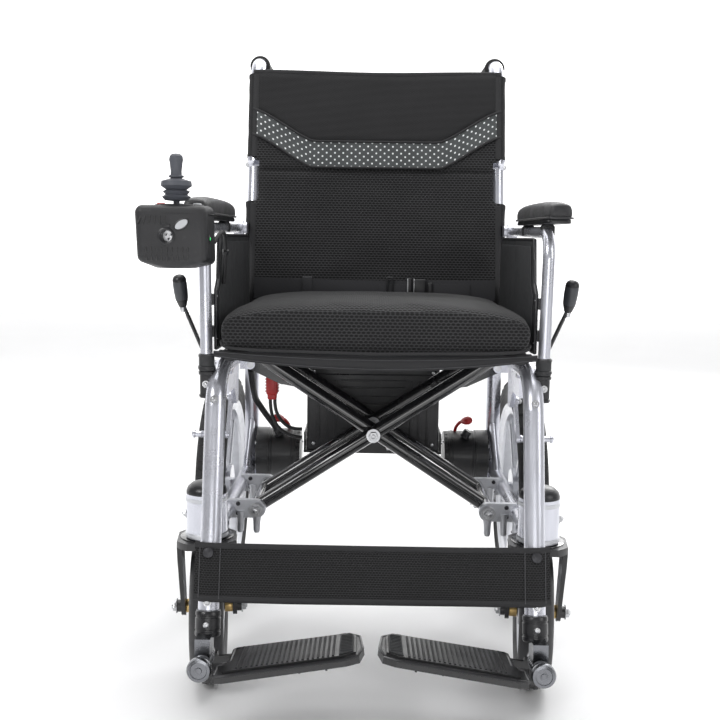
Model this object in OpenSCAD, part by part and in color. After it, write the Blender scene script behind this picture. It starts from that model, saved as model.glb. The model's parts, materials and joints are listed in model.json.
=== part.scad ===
// Folding power wheelchair with a scissor cross-brace, two hub-side gear motors,
// swivel front casters, flip-up armrests and footplates and a half-folding back.
// Millimetres, +Z up, the front of the chair faces -Y, +X is the occupant's left.

/* [Frame] */
// Distance between the axes of the two side frames
frame_w = 442; // [436:1:450]
// Diameter of the bent front frame tube
front_tube_d = 28.6; // [28:0.1:29]
// Diameter of the back canes
cane_d = 25.4; // [25:0.1:25.6]
// Height of the upper side rail axis
rail_z = 476; // [474:1:478]
// Lean of the front tube from the vertical, in degrees
front_lean = 14.4; // [14:0.1:15]

/* [Wheels] */
// Outer radius of the rear drive tyre
rear_r = 203; // [201:0.5:204]
// Width of the rear tyre
rear_w = 50; // [46:1:50]
// Outer radius of the front caster wheel
caster_r = 113; // [111:0.5:113.5]
// Width of the caster tyre
caster_w = 50; // [46:1:50]
// Angle the casters stand at, in degrees outwards
caster_yaw = 6; // [5:0.5:7]

/* [Seat and back] */
// Width of the seat cushion
cushion_w = 438; // [430:1:438]
// Height of the top of the seat cushion
cushion_top = 572; // [566:1:576]
// Width of the back cover
back_w = 452; // [446:1:452]
// Height of the calf strap
strap_h = 74; // [70:1:78]

/* [Battery] */
// Width of the battery box
battery_w = 222; // [214:1:224]
// Height of the battery box
battery_h = 143; // [130:1:144]

/* [Hidden] */
$fn = 48;
yc = 280.5;                 // distance from the front tube to the middle of the length
hw = frame_w / 2;
fr = front_tube_d / 2;
cr = cane_d / 2;
tl = tan(front_lean);
rear_y = 455;               // rear frame tube
axle_y = 478;               // drive axle
axle_z = rear_r;
lower_z = 250;              // lower side rail
clev_x = 177;               // lower brace pivots
clev_z = 250;
seat_x = 204;               // seat tubes
seat_z = 499;
seat_r = 9.5;
brace_a = atan((seat_z - clev_z) / (seat_x + clev_x));
cross_z = clev_z + clev_x * tan(brace_a);
brace_r = 11;
bar_y = [160, 183, 260, 283];   // front A, front B, rear A, rear B
hinge_y = 535;              // back fold hinge
hinge_z = 795;
arm_py = 445;               // armrest pivot
arm_pz = 678;
stem_x = 236;               // caster stem
stem_y = 36;
trail = 58;
foot_x = 222;               // footplate hinge
foot_y = -80;
foot_z = 105;
foot_slope = 5;
foot_tilt = 7;
link_x = 197;               // stabiliser link
link_z = 461;
stick_x = -259;             // joystick
stick_y = -48;
stick_z = 697;

// ---- helpers ----
function unit(v) = v / norm(v);
module place() { translate([0, -yc, 0]) children(); }
// builds for +X, mirrored to the other side when s is -1
module side(s) { place() { if (s > 0) children(); else mirror([1, 0, 0]) children(); } }
// rod between two points
module rod(a, b, r) {
  d = b - a; l = norm(d);
  translate(a) rotate([0, acos(d[2] / l), atan2(d[1], d[0])]) cylinder(h = l, r = r);
}
// round tube along straight legs with an arc of radius R at each inner corner
module ptube(P, R, r) {
  n = len(P);
  dirs = [for (i = [0:n-2]) unit(P[i+1] - P[i])];
  t = [for (i = [0:n-1]) (i == 0 || i == n-1) ? 0 : R * tan(acos(min(1, dirs[i-1] * dirs[i])) / 2)];
  // legs run 0.6 into each arc, and the arcs are a hair thinner
  for (i = [0:n-2]) rod(P[i] + dirs[i] * max(0, t[i] - 0.6), P[i+1] - dirs[i] * max(0, t[i+1] - 0.6), r);
  for (i = [1:n-2]) {
    u = dirs[i-1]; w = dirs[i];
    ang = acos(u * w);
    v = unit(w - u * (u * w));
    s = P[i] - u * t[i];
    c = s + v * R;
    z = cross(-v, u);
    multmatrix([[-v[0], u[0], z[0], c[0]], [-v[1], u[1], z[1], c[1]], [-v[2], u[2], z[2], c[2]], [0, 0, 0, 1]])
      rotate_extrude(angle = ang) translate([R, 0]) circle(r - 0.03);
  }
}
// extrudes a profile drawn in (Y, Z) along X from x0 to x1
module along_x(x0, x1) {
  translate([x0, 0, 0]) rotate([90, 0, 90]) linear_extrude(x1 - x0) children();
}
module cyl_x(x0, x1, y, z, r) { translate([x0, y, z]) rotate([0, 90, 0]) cylinder(h = x1 - x0, r = r); }
module cyl_y(y0, y1, x, z, r) { translate([x, y0, z]) rotate([-90, 0, 0]) cylinder(h = y1 - y0, r = r); }
// outline of a flat bar with a round end of radius p about a and q about b
function outline(a, p, b, q, n = 20) =
  let (d = b - a, h = atan2(d[1], d[0]), g = acos((p - q) / norm(d)))
  concat([for (i = [0:n]) let (t = h + g + (360 - 2 * g) * i / n) a + p * [cos(t), sin(t)]],
         [for (i = [0:n]) let (t = h - g + 2 * g * i / n) b + q * [cos(t), sin(t)]]);
// flat bar with round ends in the X-Z plane
module bar_xz(a, b, r, y0, y1) {
  translate([0, y1, 0]) rotate([90, 0, 0]) linear_extrude(y1 - y0) polygon(outline(a, r, b, r));
}
// the same in the Y-Z plane
module bar_yz(a, b, r, x0, x1) { along_x(x0, x1) polygon(outline(a, r, b, r)); }
function front_at(z) = -52 + (z - 141) * tl;
function cane_at(z) = z < 560 ? rear_y : rear_y + (z - 560) * 0.23;

// ---- side frame ----
module main_tube(r) { ptube([[hw, front_at(141), 141], [hw, front_at(rail_z), rail_z], [hw, rear_y, rail_z]], 65, r); }
module frame_tubes() {
  main_tube(fr);
  ptube([[hw, rear_y, 200], [hw, rear_y, 560], [hw, cane_at(787), 787]], 120, cr);
  difference() {
    cyl_y(stem_y + 27, 545, hw, lower_z, 11);
    cyl_y(469, 546, hw, lower_z, 8.5);
    cyl_y(stem_y, stem_y + 27.5, hw, lower_z, 12);
  }
  rod([hw, rear_y - 4, 330], [hw, 372, lower_z + 2], 7);
}
module frame_brackets() {
  // axle plate
  difference() {
    translate([208, 442, 175]) cube([4.1, 70, 90]);
    cyl_x(207, 216, axle_y, axle_z, 13);
  }
  // saddle clips for the seat tube
  for (y = [95, 350]) translate([208, y, 464]) cube([8, 16, 19]);
  // bracket for the stabiliser link
  translate([189, 238, 452]) cube([26, 6, 26]);
  cyl_y(228, 238.5, link_x, link_z, 4);
  cyl_y(224, 228, link_x, link_z, 7.5);
  // wheel lock bracket
  difference() {
    along_x(232.5, 240) polygon([[225, 470], [360, 470], [352, 380], [332, 380], [300, 412], [232, 412]]);
    main_tube(fr - 0.02);
  }
  cyl_x(240, 247.4, 245, 425, 4);
  cyl_x(247.4, 249.4, 245, 425, 6.2);
  cyl_x(240, 247.4, 341, 389, 4);
  cyl_x(247.4, 249.4, 341, 389, 7);
  // armrest pivot bracket on the cane
  difference() {
    bar_yz([arm_py, arm_pz], [cane_at(arm_pz), arm_pz], 10, 228.5, 234.5);
    rod([hw, rear_y - 13.8, 500], [hw, cane_at(787), 787], cr - 2);
  }
  cyl_x(234, 252.6, arm_py, arm_pz, 5);
  cyl_x(252.5, 255.4, arm_py, arm_pz, 8.5);
  // back fold hinge, fixed half
  difference() {
    union() {
      bar_yz([cane_at(780), 775], [hinge_y, hinge_z - 14], 8, 215, 227);
      cyl_x(215, 227, hinge_y, hinge_z, 9);
      translate([215, hinge_y - 9, hinge_z - 16]) cube([12, 18, 16]);
    }
    cyl_x(214, 228, hinge_y, hinge_z, 4.05);
  }
}
module side_frame(s) { color("silver") side(s) { frame_tubes(); frame_brackets(); } }
module right_side_frame() { side_frame(-1); }
module left_side_frame() { side_frame(1); }

module clevises(s) {
  color("gainsboro") side(s) {
    for (y = [[137.5, 147.5], [295, 305]]) {
      difference() {
        union() {
          bar_xz([clev_x, clev_z], [hw - 9, clev_z], 14, y[0], y[1]);
          translate([clev_x, (y[0] + y[1]) / 2, 212]) cylinder(h = 30, r1 = 4, r2 = 4.9);
          translate([hw - 19, (y[0] + y[1]) / 2, 220]) cylinder(h = 30, r1 = 4, r2 = 4.9);
          translate([hw - 9, y[0], clev_z - 14]) cube([9, y[1] - y[0], 28]);
        }
        cyl_y(100, 330, hw, lower_z, 11);
      }
    }
    cyl_y(134, 309, clev_x, clev_z, 5);
    cyl_y(131, 134, clev_x, clev_z, 9);
    cyl_y(309, 312, clev_x, clev_z, 9);
  }
}
module right_clevises() { clevises(-1); }
module left_clevises() { clevises(1); }

module caster_housing(s) {
  color("silver") side(s) {
    difference() {
      union() {
        translate([stem_x, stem_y, 240]) cylinder(h = 63, r = 29);
        translate([stem_x, stem_y, 303]) rotate_extrude() polygon([[0, 0], [27, 0], [27, 4], [22, 10], [12, 13], [0, 14]]);
      }
      translate([stem_x, stem_y, 239]) cylinder(h = 62, r = 8.05);
      main_tube(fr);
      cyl_y(stem_y + 27, 100, hw, lower_z, 11);
    }
  }
}
module right_caster_housing() { caster_housing(-1); }
module left_caster_housing() { caster_housing(1); }

module arm_socket(s) {
  color("dimgray") side(s) difference() {
    union() {
      translate([236, 42, 438]) cylinder(h = 38, r = 9.5);
      translate([224, 34, 442]) cube([12, 16, 30]);
    }
    main_tube(fr);
  }
}
module right_arm_socket() { arm_socket(-1); }
module left_arm_socket() { arm_socket(1); }

module drive_motor(s) {
  color("#1c1c1e") side(s) {
    cyl_x(139, 186, 435, 273, 44);
    for (i = [0:3]) cyl_x(129 + i * 2.6, 130.6 + i * 2.6, 435, 273, 42.5);
    cyl_x(130, 140, 435, 273, 40);
  }
}
module right_drive_motor() { drive_motor(-1); }
module left_drive_motor() { drive_motor(1); }
module gearbox(s) {
  color("#303034") side(s) difference() {
    along_x(186, 207.6) polygon(outline([435, 273], 46, [axle_y, axle_z], 34, 36));
    cyl_x(185, 208, axle_y, axle_z, 10.05);
  }
}
module right_gearbox() { gearbox(-1); }
module left_gearbox() { gearbox(1); }

// ---- footrest ----
module foot_frame() { translate([foot_x, foot_y, foot_z]) rotate([-foot_slope, 0, 0]) children(); }
module footrest_bracket(s) {
  color("#55565a") side(s) {
    difference() {
      union() {
        rod([hw, front_at(162), 162], [hw, front_at(129), 129], 16);
        foot_frame() {
          rotate([-90, 0, 0]) translate([0, 0, -20]) cylinder(h = 40, r = 10);
          translate([-10, -16, 0]) cube([20, 35.6, 32]);
        }
      }
      rod([hw, front_at(166), 166], [hw, front_at(141), 141], fr);
    }
    foot_frame() rotate([-90, 0, 0]) {
      translate([0, 0, -36]) cylinder(h = 70, r = 5);
      translate([0, 0, -41]) cylinder(h = 5.5, r = 15);
      translate([0, 0, 34]) cylinder(h = 3, r = 8);
    }
  }
}
module right_footrest_bracket() { footrest_bracket(-1); }
module left_footrest_bracket() { footrest_bracket(1); }
module foot_knuckle(s) {
  color("#77787c") side(s) foot_frame() rotate([-90, 0, 0]) difference() {
    translate([0, 0, 20.4]) cylinder(h = 6, r = 11);
    translate([0, 0, 20]) cylinder(h = 7, r = 5.06);
  }
}
module right_foot_knuckle() { foot_knuckle(-1); }
module left_foot_knuckle() { foot_knuckle(1); }
module footplate(s) {
  color("#202124") side(s) foot_frame() rotate([0, foot_tilt, 0]) difference() {
    union() {
      // tray, drawn from the hinge inwards
      translate([0, 0, -16]) linear_extrude(10)
        polygon([[-19, -50], [-30, -54], [-190, -38], [-207, -30], [-213, 0], [-209, 50], [-194, 66], [-38, 53], [-34, 48], [-34, -6], [-19, -14]]);
      translate([0, 0, -6]) linear_extrude(3)
        polygon([[-30, -46], [-188, -31], [-203, -22], [-203, 46], [-190, 58], [-43, 47], [-43, -4], [-30, -12]]);
      for (y = [-34.5, 27]) {
        translate([-38, y, -15.5]) cube([32, 6.4, 9.2]);
        rotate([-90, 0, 0]) translate([0, 0, y]) cylinder(h = 6.4, r = 10);
        translate([-14, y, -10]) cube([14, 6.4, 10]);
      }
    }
    rotate([-90, 0, 0]) translate([0, 0, -40]) cylinder(h = 80, r = 5.06);
  }
}
module right_footplate() { footplate(-1); }
module left_footplate() { footplate(1); }

module calf_strap() {
  z0 = 178; z1 = z0 + strap_h;
  color("#1a1b1d") place() along_x(-240, 240)
    polygon([[front_at(z0) - 18.6, z0], [front_at(z0) - 15.4, z0], [front_at(z1) - 15.4, z1], [front_at(z1) - 18.6, z1]]);
}

// ---- back ----
module back_cover_lower() {
  color("#1d1e21") place() along_x(-back_w / 2, back_w / 2)
    polygon([[rear_y - 26, 506], [rear_y - 14, 506], [rear_y - 14, 556], [cane_at(780) - 14, 780], [cane_at(780) - 26, 780], [rear_y - 26, 562]]);
}
module back_cover_upper() {
  color("#1d1e21") place() along_x(-back_w / 2, back_w / 2)
    polygon([[cane_at(783) - 26, 783], [cane_at(783) - 14, 783], [cane_at(960) - 14, 958], [cane_at(960) - 19, 962], [cane_at(960) - 26, 958]]);
}
module upper_cane(s) {
  color("silver") side(s) {
    ptube([[hw, cane_at(798), 798], [hw, 552, 982], [hw, 620, 982]], 40, cr);
    for (x = [207, 227.4]) along_x(x, x + 7.6) polygon(outline([cane_at(807), 807], 7, [hinge_y, hinge_z], 9));
    cyl_x(206, 236, hinge_y, hinge_z, 4);
    cyl_y(619, 692, hw, 982, 16.5);
    cyl_y(590, 620, hw, 982, 15.5);
  }
}
module right_upper_cane() { upper_cane(-1); }
module left_upper_cane() { upper_cane(1); }

// ---- scissor brace ----
// one leg: lower pivot on the -X side, upper end on the +X side
module brace_leg(y1, y2) {
  place() difference() {
    union() {
      for (y = [y1, y2]) {
        rod([-clev_x, y, clev_z], [seat_x, y, seat_z], brace_r);
        cyl_y(y - 10, y + 10, seat_x, seat_z, 13);
      }
      cyl_y(148, 294.5, -clev_x, clev_z, 11);
    }
    cyl_y(100, 330, -clev_x, clev_z, 5.06);
    cyl_y(100, 330, seat_x, seat_z, seat_r + 0.06);
    cyl_y(100, 330, 0, cross_z, 5.06);
  }
}
module brace_a() { color("#101012") brace_leg(bar_y[0], bar_y[2]); }
module brace_b() {
  color("#101012") {
    mirror([1, 0, 0]) brace_leg(bar_y[1], bar_y[3]);
    place() for (y = [[145, 196], [245, 305]]) {
      cyl_y(y[0], y[1], 0, cross_z, 5);
      cyl_y(y[0] - 3.5, y[0] + 0.1, 0, cross_z, 9);
    }
  }
}
module seat_tube(s) { color("#26272a") side(s) cyl_y(45, 427, seat_x, seat_z, seat_r); }
module seat_tube_right() { seat_tube(-1); }
module seat_tube_left() { seat_tube(1); }
module seat_sling() {
  color("#1b1c1e") place() {
    translate([-189, 30, 505]) cube([378, 390, 2.6]);
    translate([-224, 14, 478]) cube([448, 3, 22]);
    translate([-189, 14, 496]) cube([378, 17, 11.6]);
  }
}
module seat_cushion() {
  color("#232427") place() {
    translate([-cushion_w / 2, 20, 513.2]) cube([cushion_w, 394, cushion_top - 513.2]);
    translate([-cushion_w / 2, 6, 508.6]) cube([cushion_w, 34, cushion_top - 514]);
  }
}
module seat_belt() {
  color("#161618") place() {
    translate([-214, 417, 552]) cube([428, 4, 40]);
    translate([14, 415, 548]) cube([38, 8, 48]);
  }
}

// ---- battery ----
module battery_tray() {
  color("#2a2b2e") place() {
    difference() {
      union() {
        translate([-34, 301, 303]) cube([68, 3.4, 84]);
        translate([-116, 301, 303]) cube([232, 86, 4]);
        for (x = [-116, 114.2]) translate([x, 305, 303]) cube([1.8, 82, 34]);
      }
      cyl_y(295, 310, 0, cross_z, 5.06);
    }
  }
}
module battery_box() {
  color("#131315") place() {
    translate([-battery_w / 2 + 5, 306, 308]) cube([battery_w - 10, 78, battery_h]);
    translate([-battery_w / 2, 311, 308]) cube([battery_w, 68, battery_h]);
    for (x = [-battery_w / 2 + 5, battery_w / 2 - 5], y = [311, 379]) translate([x, y, 308]) cylinder(h = battery_h, r = 5);
    difference() {
      translate([-45, 383, 400]) cube([90, 22, 12]);
      translate([-35, 382, 399]) cube([70, 13, 14]);
    }
  }
}
module link_bar(s) {
  color("#151517") side(s) difference() {
    union() {
      bar_xz([link_x, link_z], [146, 437], 8, 230, 236);
      bar_xz([148, 437.4], [99, 428.5], 7.6, 230.2, 235.8);
      cyl_y(227, 240, 99, 428.5, 5);
      cyl_y(225, 227.2, 99, 428.5, 7);
    }
    cyl_y(220, 250, link_x, link_z, 4.06);
  }
}
module link_right() { link_bar(-1); }
module link_left() { link_bar(1); }

// ---- armrests ----
// front leg and rail of the armrest, the leg starting at height z
module arm_line(z, r) {
  t = (z - 478) / 196;
  ptube([[236 + 3 * t, 42 + 4 * t, z], [239, 46, 674], [243.4, arm_py, arm_pz]], 36, r);
}
module arm_tube(s) {
  color("gainsboro") side(s) difference() {
    union() {
      arm_line(484, 8.5);
      cyl_x(234.9, 252.1, arm_py, arm_pz, 12.5);
    }
    cyl_x(230, 256, arm_py, arm_pz, 5.06);
  }
}
module right_arm_tube() { arm_tube(-1); }
module left_arm_tube() { arm_tube(1); }
module arm_pad(s) {
  color("#18191b") side(s) difference() {
    translate([247.5, 0, 0]) hull() for (y = [28, 300], x = [-8, 8]) {
      translate([x, y, 700]) cylinder(h = 20, r1 = 14.5, r2 = 11.5, $fn = 32);
      translate([x, y, 687]) cylinder(h = 10, r1 = 11, r2 = 13.5, $fn = 32);
    }
    translate([200, -10, 640]) cube([90, 400, 47.2]);
  }
}
module right_arm_pad() { arm_pad(-1); }
module left_arm_pad() { arm_pad(1); }
module skirt_guard(s) {
  color("#1f2022") side(s) {
    along_x(222.6, 227.2) polygon([[56, 506], [56, 588], [74, 602], [88, 664], [412, 664], [424, 650], [424, 520], [410, 506]]);
    for (z = [520, 546, 572, 598]) translate([227, 110, z]) cube([3, 250, 12]);
    // collar that seats the arm leg on its socket
    difference() {
      translate([236, 42, 476.4]) cylinder(h = 21, r = 10.8);
      arm_line(470, 8.56);
      main_tube(fr + 0.4);
    }
  }
}
module right_skirt_guard() { skirt_guard(-1); }
module left_skirt_guard() { skirt_guard(1); }

// ---- joystick controller ----
module controller_housing() {
  color("#242528") place() difference() {
    union() {
      hull() {
        for (x = [-297, -225]) {
          translate([x, -4, 634]) sphere(r = 9, $fn = 24);
          translate([x - 2, -8, 693]) sphere(r = 10, $fn = 24);
          translate([x, -66, 638]) sphere(r = 9, $fn = 24);
          translate([x - 1, -68, 692]) sphere(r = 10, $fn = 24);
        }
        translate([-262, -36, 622]) cylinder(h = 20, r = 26, $fn = 32);
      }
      translate([-248, -6, 660]) cube([20, 44, 12]);
      translate([-243, 30, 655]) cube([14, 10, 20]);
    }
    translate([stick_x, stick_y, 682]) cylinder(h = 30, r = 15);
    translate([-400, -100, 703]) cube([300, 200, 40]);
    for (x = [-286, -262, -238]) translate([x, -14, 697]) cylinder(h = 10, r = 6.3);
    translate([-267, -60, 663]) rotate([90, 0, 0]) cylinder(h = 40, r = 7.5);
    mirror([1, 0, 0]) arm_line(470, 8.8);
  }
}
module controller_cable() {
  color("#0e0e10") place()
    ptube([[-219, 5.6, 655], [-212, 32, 672], [-212, 68, 648], [-219, 88, 592]], 18, 2.8);
}
module joystick_gimbal() {
  color("#8a8c90") place() difference() {
    union() {
      translate([stick_x, stick_y, stick_z - 3]) cylinder(h = 6, r = 13);
      cyl_x(stick_x - 14.6, stick_x + 14.6, stick_y, stick_z, 1.6);
    }
    translate([stick_x, stick_y, stick_z - 4]) cylinder(h = 8, r = 9);
  }
}
module joystick_stick() {
  color("#2d2e31") place() translate([stick_x, stick_y, stick_z]) {
    translate([0, 0, -5]) cylinder(h = 40, r = 4);
    cyl_y(-8.6, 8.6, 0, 0, 2.2);
    rotate_extrude() polygon([[0, 10], [14.5, 11.5], [18.5, 16], [14, 19], [17.5, 23], [13, 25], [20, 30], [19, 36], [9, 39], [0, 39]]);
    rotate_extrude() polygon([[0, 38], [7.5, 38], [7, 48], [8.6, 62], [7.5, 67], [3.5, 69.5], [0, 70]]);
  }
}
module push_button(x) {
  place() {
    translate([x, -14, 698.8]) cylinder(h = 6, r = 6);
    translate([x, -14, 704.7]) cylinder(h = 0.8, r1 = 6, r2 = 5.2);
  }
}
module power_button() { color("#b02a2a") push_button(-286); }
module speed_button() { color("#c8c9cc") push_button(-262); }
module horn_button() { color("#c8c9cc") push_button(-238); }
module motor_cable() {
  color("#0d0d0f") place() ptube([[-207, 318, 440], [-207, 352, 404], [-207, 396, 372], [-166.3, 408.1, 314.3]], 26, 5.5);
}

// ---- wheel locks ----
module brake_lever(s) {
  color("#18181a") side(s) difference() {
    union() {
      cyl_x(240.6, 247, 245, 425, 11);
      ptube([[243.8, 242, 430], [266, 222, 470], [295, 180, 560]], 60, 3);
      translate([295, 180, 556]) rotate([11, 5, 0]) rotate_extrude() polygon([[0, 0], [6, 0], [9.2, 10], [10, 34], [9.4, 42], [6, 47], [0, 48]]);
    }
    cyl_x(238, 252, 245, 425, 4.06);
  }
}
module right_brake_lever() { brake_lever(-1); }
module left_brake_lever() { brake_lever(1); }
module brake_shoe(s) {
  color("silver") side(s) difference() {
    union() {
      along_x(240.6, 246.4) polygon(outline([341, 389], 10, [300, 332], 7));
      cyl_x(241, 301, 300, 332, 5);
    }
    cyl_x(238, 252, 341, 389, 4.06);
  }
}
module right_brake_shoe() { brake_shoe(-1); }
module left_brake_shoe() { brake_shoe(1); }

// ---- rear wheels ----
module rear_tyre(s) {
  h = rear_w / 2;
  color("#1b1b1d") side(s) translate([275, axle_y, axle_z]) rotate([0, 90, 0]) rotate_extrude($fn = 96)
    polygon([[154, -19], [166, -23], [180, -h], [192, -h + 2], [199, -h + 8], [rear_r, -8], [rear_r, 8], [199, h - 8], [192, h - 2], [180, h], [166, 23], [154, 19]]);
}
module right_rear_tyre() { rear_tyre(-1); }
module left_rear_tyre() { rear_tyre(1); }
module rear_rim(s) {
  color("#c9cacd") side(s) translate([275, axle_y, axle_z]) rotate([0, 90, 0]) {
    rotate_extrude($fn = 96) polygon([[138, -14], [146, -18], [154, -19], [154, 19], [146, 18], [138, 14], [142, 8], [142, -8]]);
    translate([0, 0, -14]) cylinder(h = 30, r = 34);
    for (i = [0:4]) rotate(i * 72) translate([26, -13, -6]) cube([118, 26, 12]);
    translate([0, 0, -85]) cylinder(h = 75, r = 10);
    translate([0, 0, 15]) cylinder(h = 6, r = 14);
  }
}
module right_rear_rim() { rear_rim(-1); }
module left_rear_rim() { rear_rim(1); }

// ---- casters ----
module caster_frame() { translate([stem_x, stem_y, 0]) rotate([0, 0, -caster_yaw]) children(); }
module caster_fork(s) {
  color("#1a1a1c") side(s) caster_frame() {
    translate([0, 0, 232]) cylinder(h = 66, r = 8);
    intersection() {
      translate([-41, -34, 227]) cube([82, 78, 10]);
      translate([0, 4, 227]) cylinder(h = 10, r = 46);
    }
    for (x = [-41, 35]) along_x(x, x + 6) polygon([[-16, 237], [26, 237], [34, 226], [74, 118], [70, 104], [58, 98], [46, 104], [-6, 205], [-16, 226]]);
    cyl_x(-47, 47, trail, caster_r, 6);
    for (x = [-48, 41.2]) cyl_x(x, x + 6.8, trail, caster_r, 9);
  }
}
module right_caster_fork() { caster_fork(-1); }
module left_caster_fork() { caster_fork(1); }
module caster_wheel(s) {
  h = caster_w / 2;
  color("#2b2b2e") side(s) caster_frame() difference() {
    translate([0, trail, caster_r]) rotate([0, 90, 0]) {
      rotate_extrude($fn = 72) polygon([[70, -20], [84, -h], [100, -h + 2], [109, -h + 9], [caster_r, -8], [caster_r, 8], [109, h - 9], [100, h - 2], [84, h], [70, 20]]);
      rotate_extrude($fn = 72) polygon([[60, -16], [70.2, -20], [70.2, 20], [60, 16], [58, 8], [58, -8]]);
      translate([0, 0, -22]) cylinder(h = 44, r = 21);
      for (i = [0:4]) rotate(i * 72) translate([14, -10, -5]) cube([48, 20, 10]);
    }
    cyl_x(-60, 60, trail, caster_r, 6.06);
  }
}
module right_caster_wheel() { caster_wheel(-1); }
module left_caster_wheel() { caster_wheel(1); }

right_side_frame();
left_side_frame();
right_clevises();
left_clevises();
right_caster_housing();
left_caster_housing();
right_arm_socket();
left_arm_socket();
right_drive_motor();
left_drive_motor();
right_gearbox();
left_gearbox();
right_footrest_bracket();
left_footrest_bracket();
calf_strap();
back_cover_lower();
motor_cable();
brace_a();
brace_b();
seat_tube_right();
seat_tube_left();
seat_sling();
seat_cushion();
seat_belt();
battery_tray();
battery_box();
link_right();
link_left();
right_arm_tube();
right_arm_pad();
right_skirt_guard();
controller_housing();
controller_cable();
joystick_gimbal();
joystick_stick();
power_button();
horn_button();
speed_button();
left_arm_tube();
left_arm_pad();
left_skirt_guard();
right_brake_lever();
left_brake_lever();
right_brake_shoe();
left_brake_shoe();
right_rear_tyre();
left_rear_tyre();
right_rear_rim();
left_rear_rim();
right_caster_fork();
left_caster_fork();
right_caster_wheel();
left_caster_wheel();
right_foot_knuckle();
left_foot_knuckle();
right_footplate();
left_footplate();
right_upper_cane();
left_upper_cane();
back_cover_upper();
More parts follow.
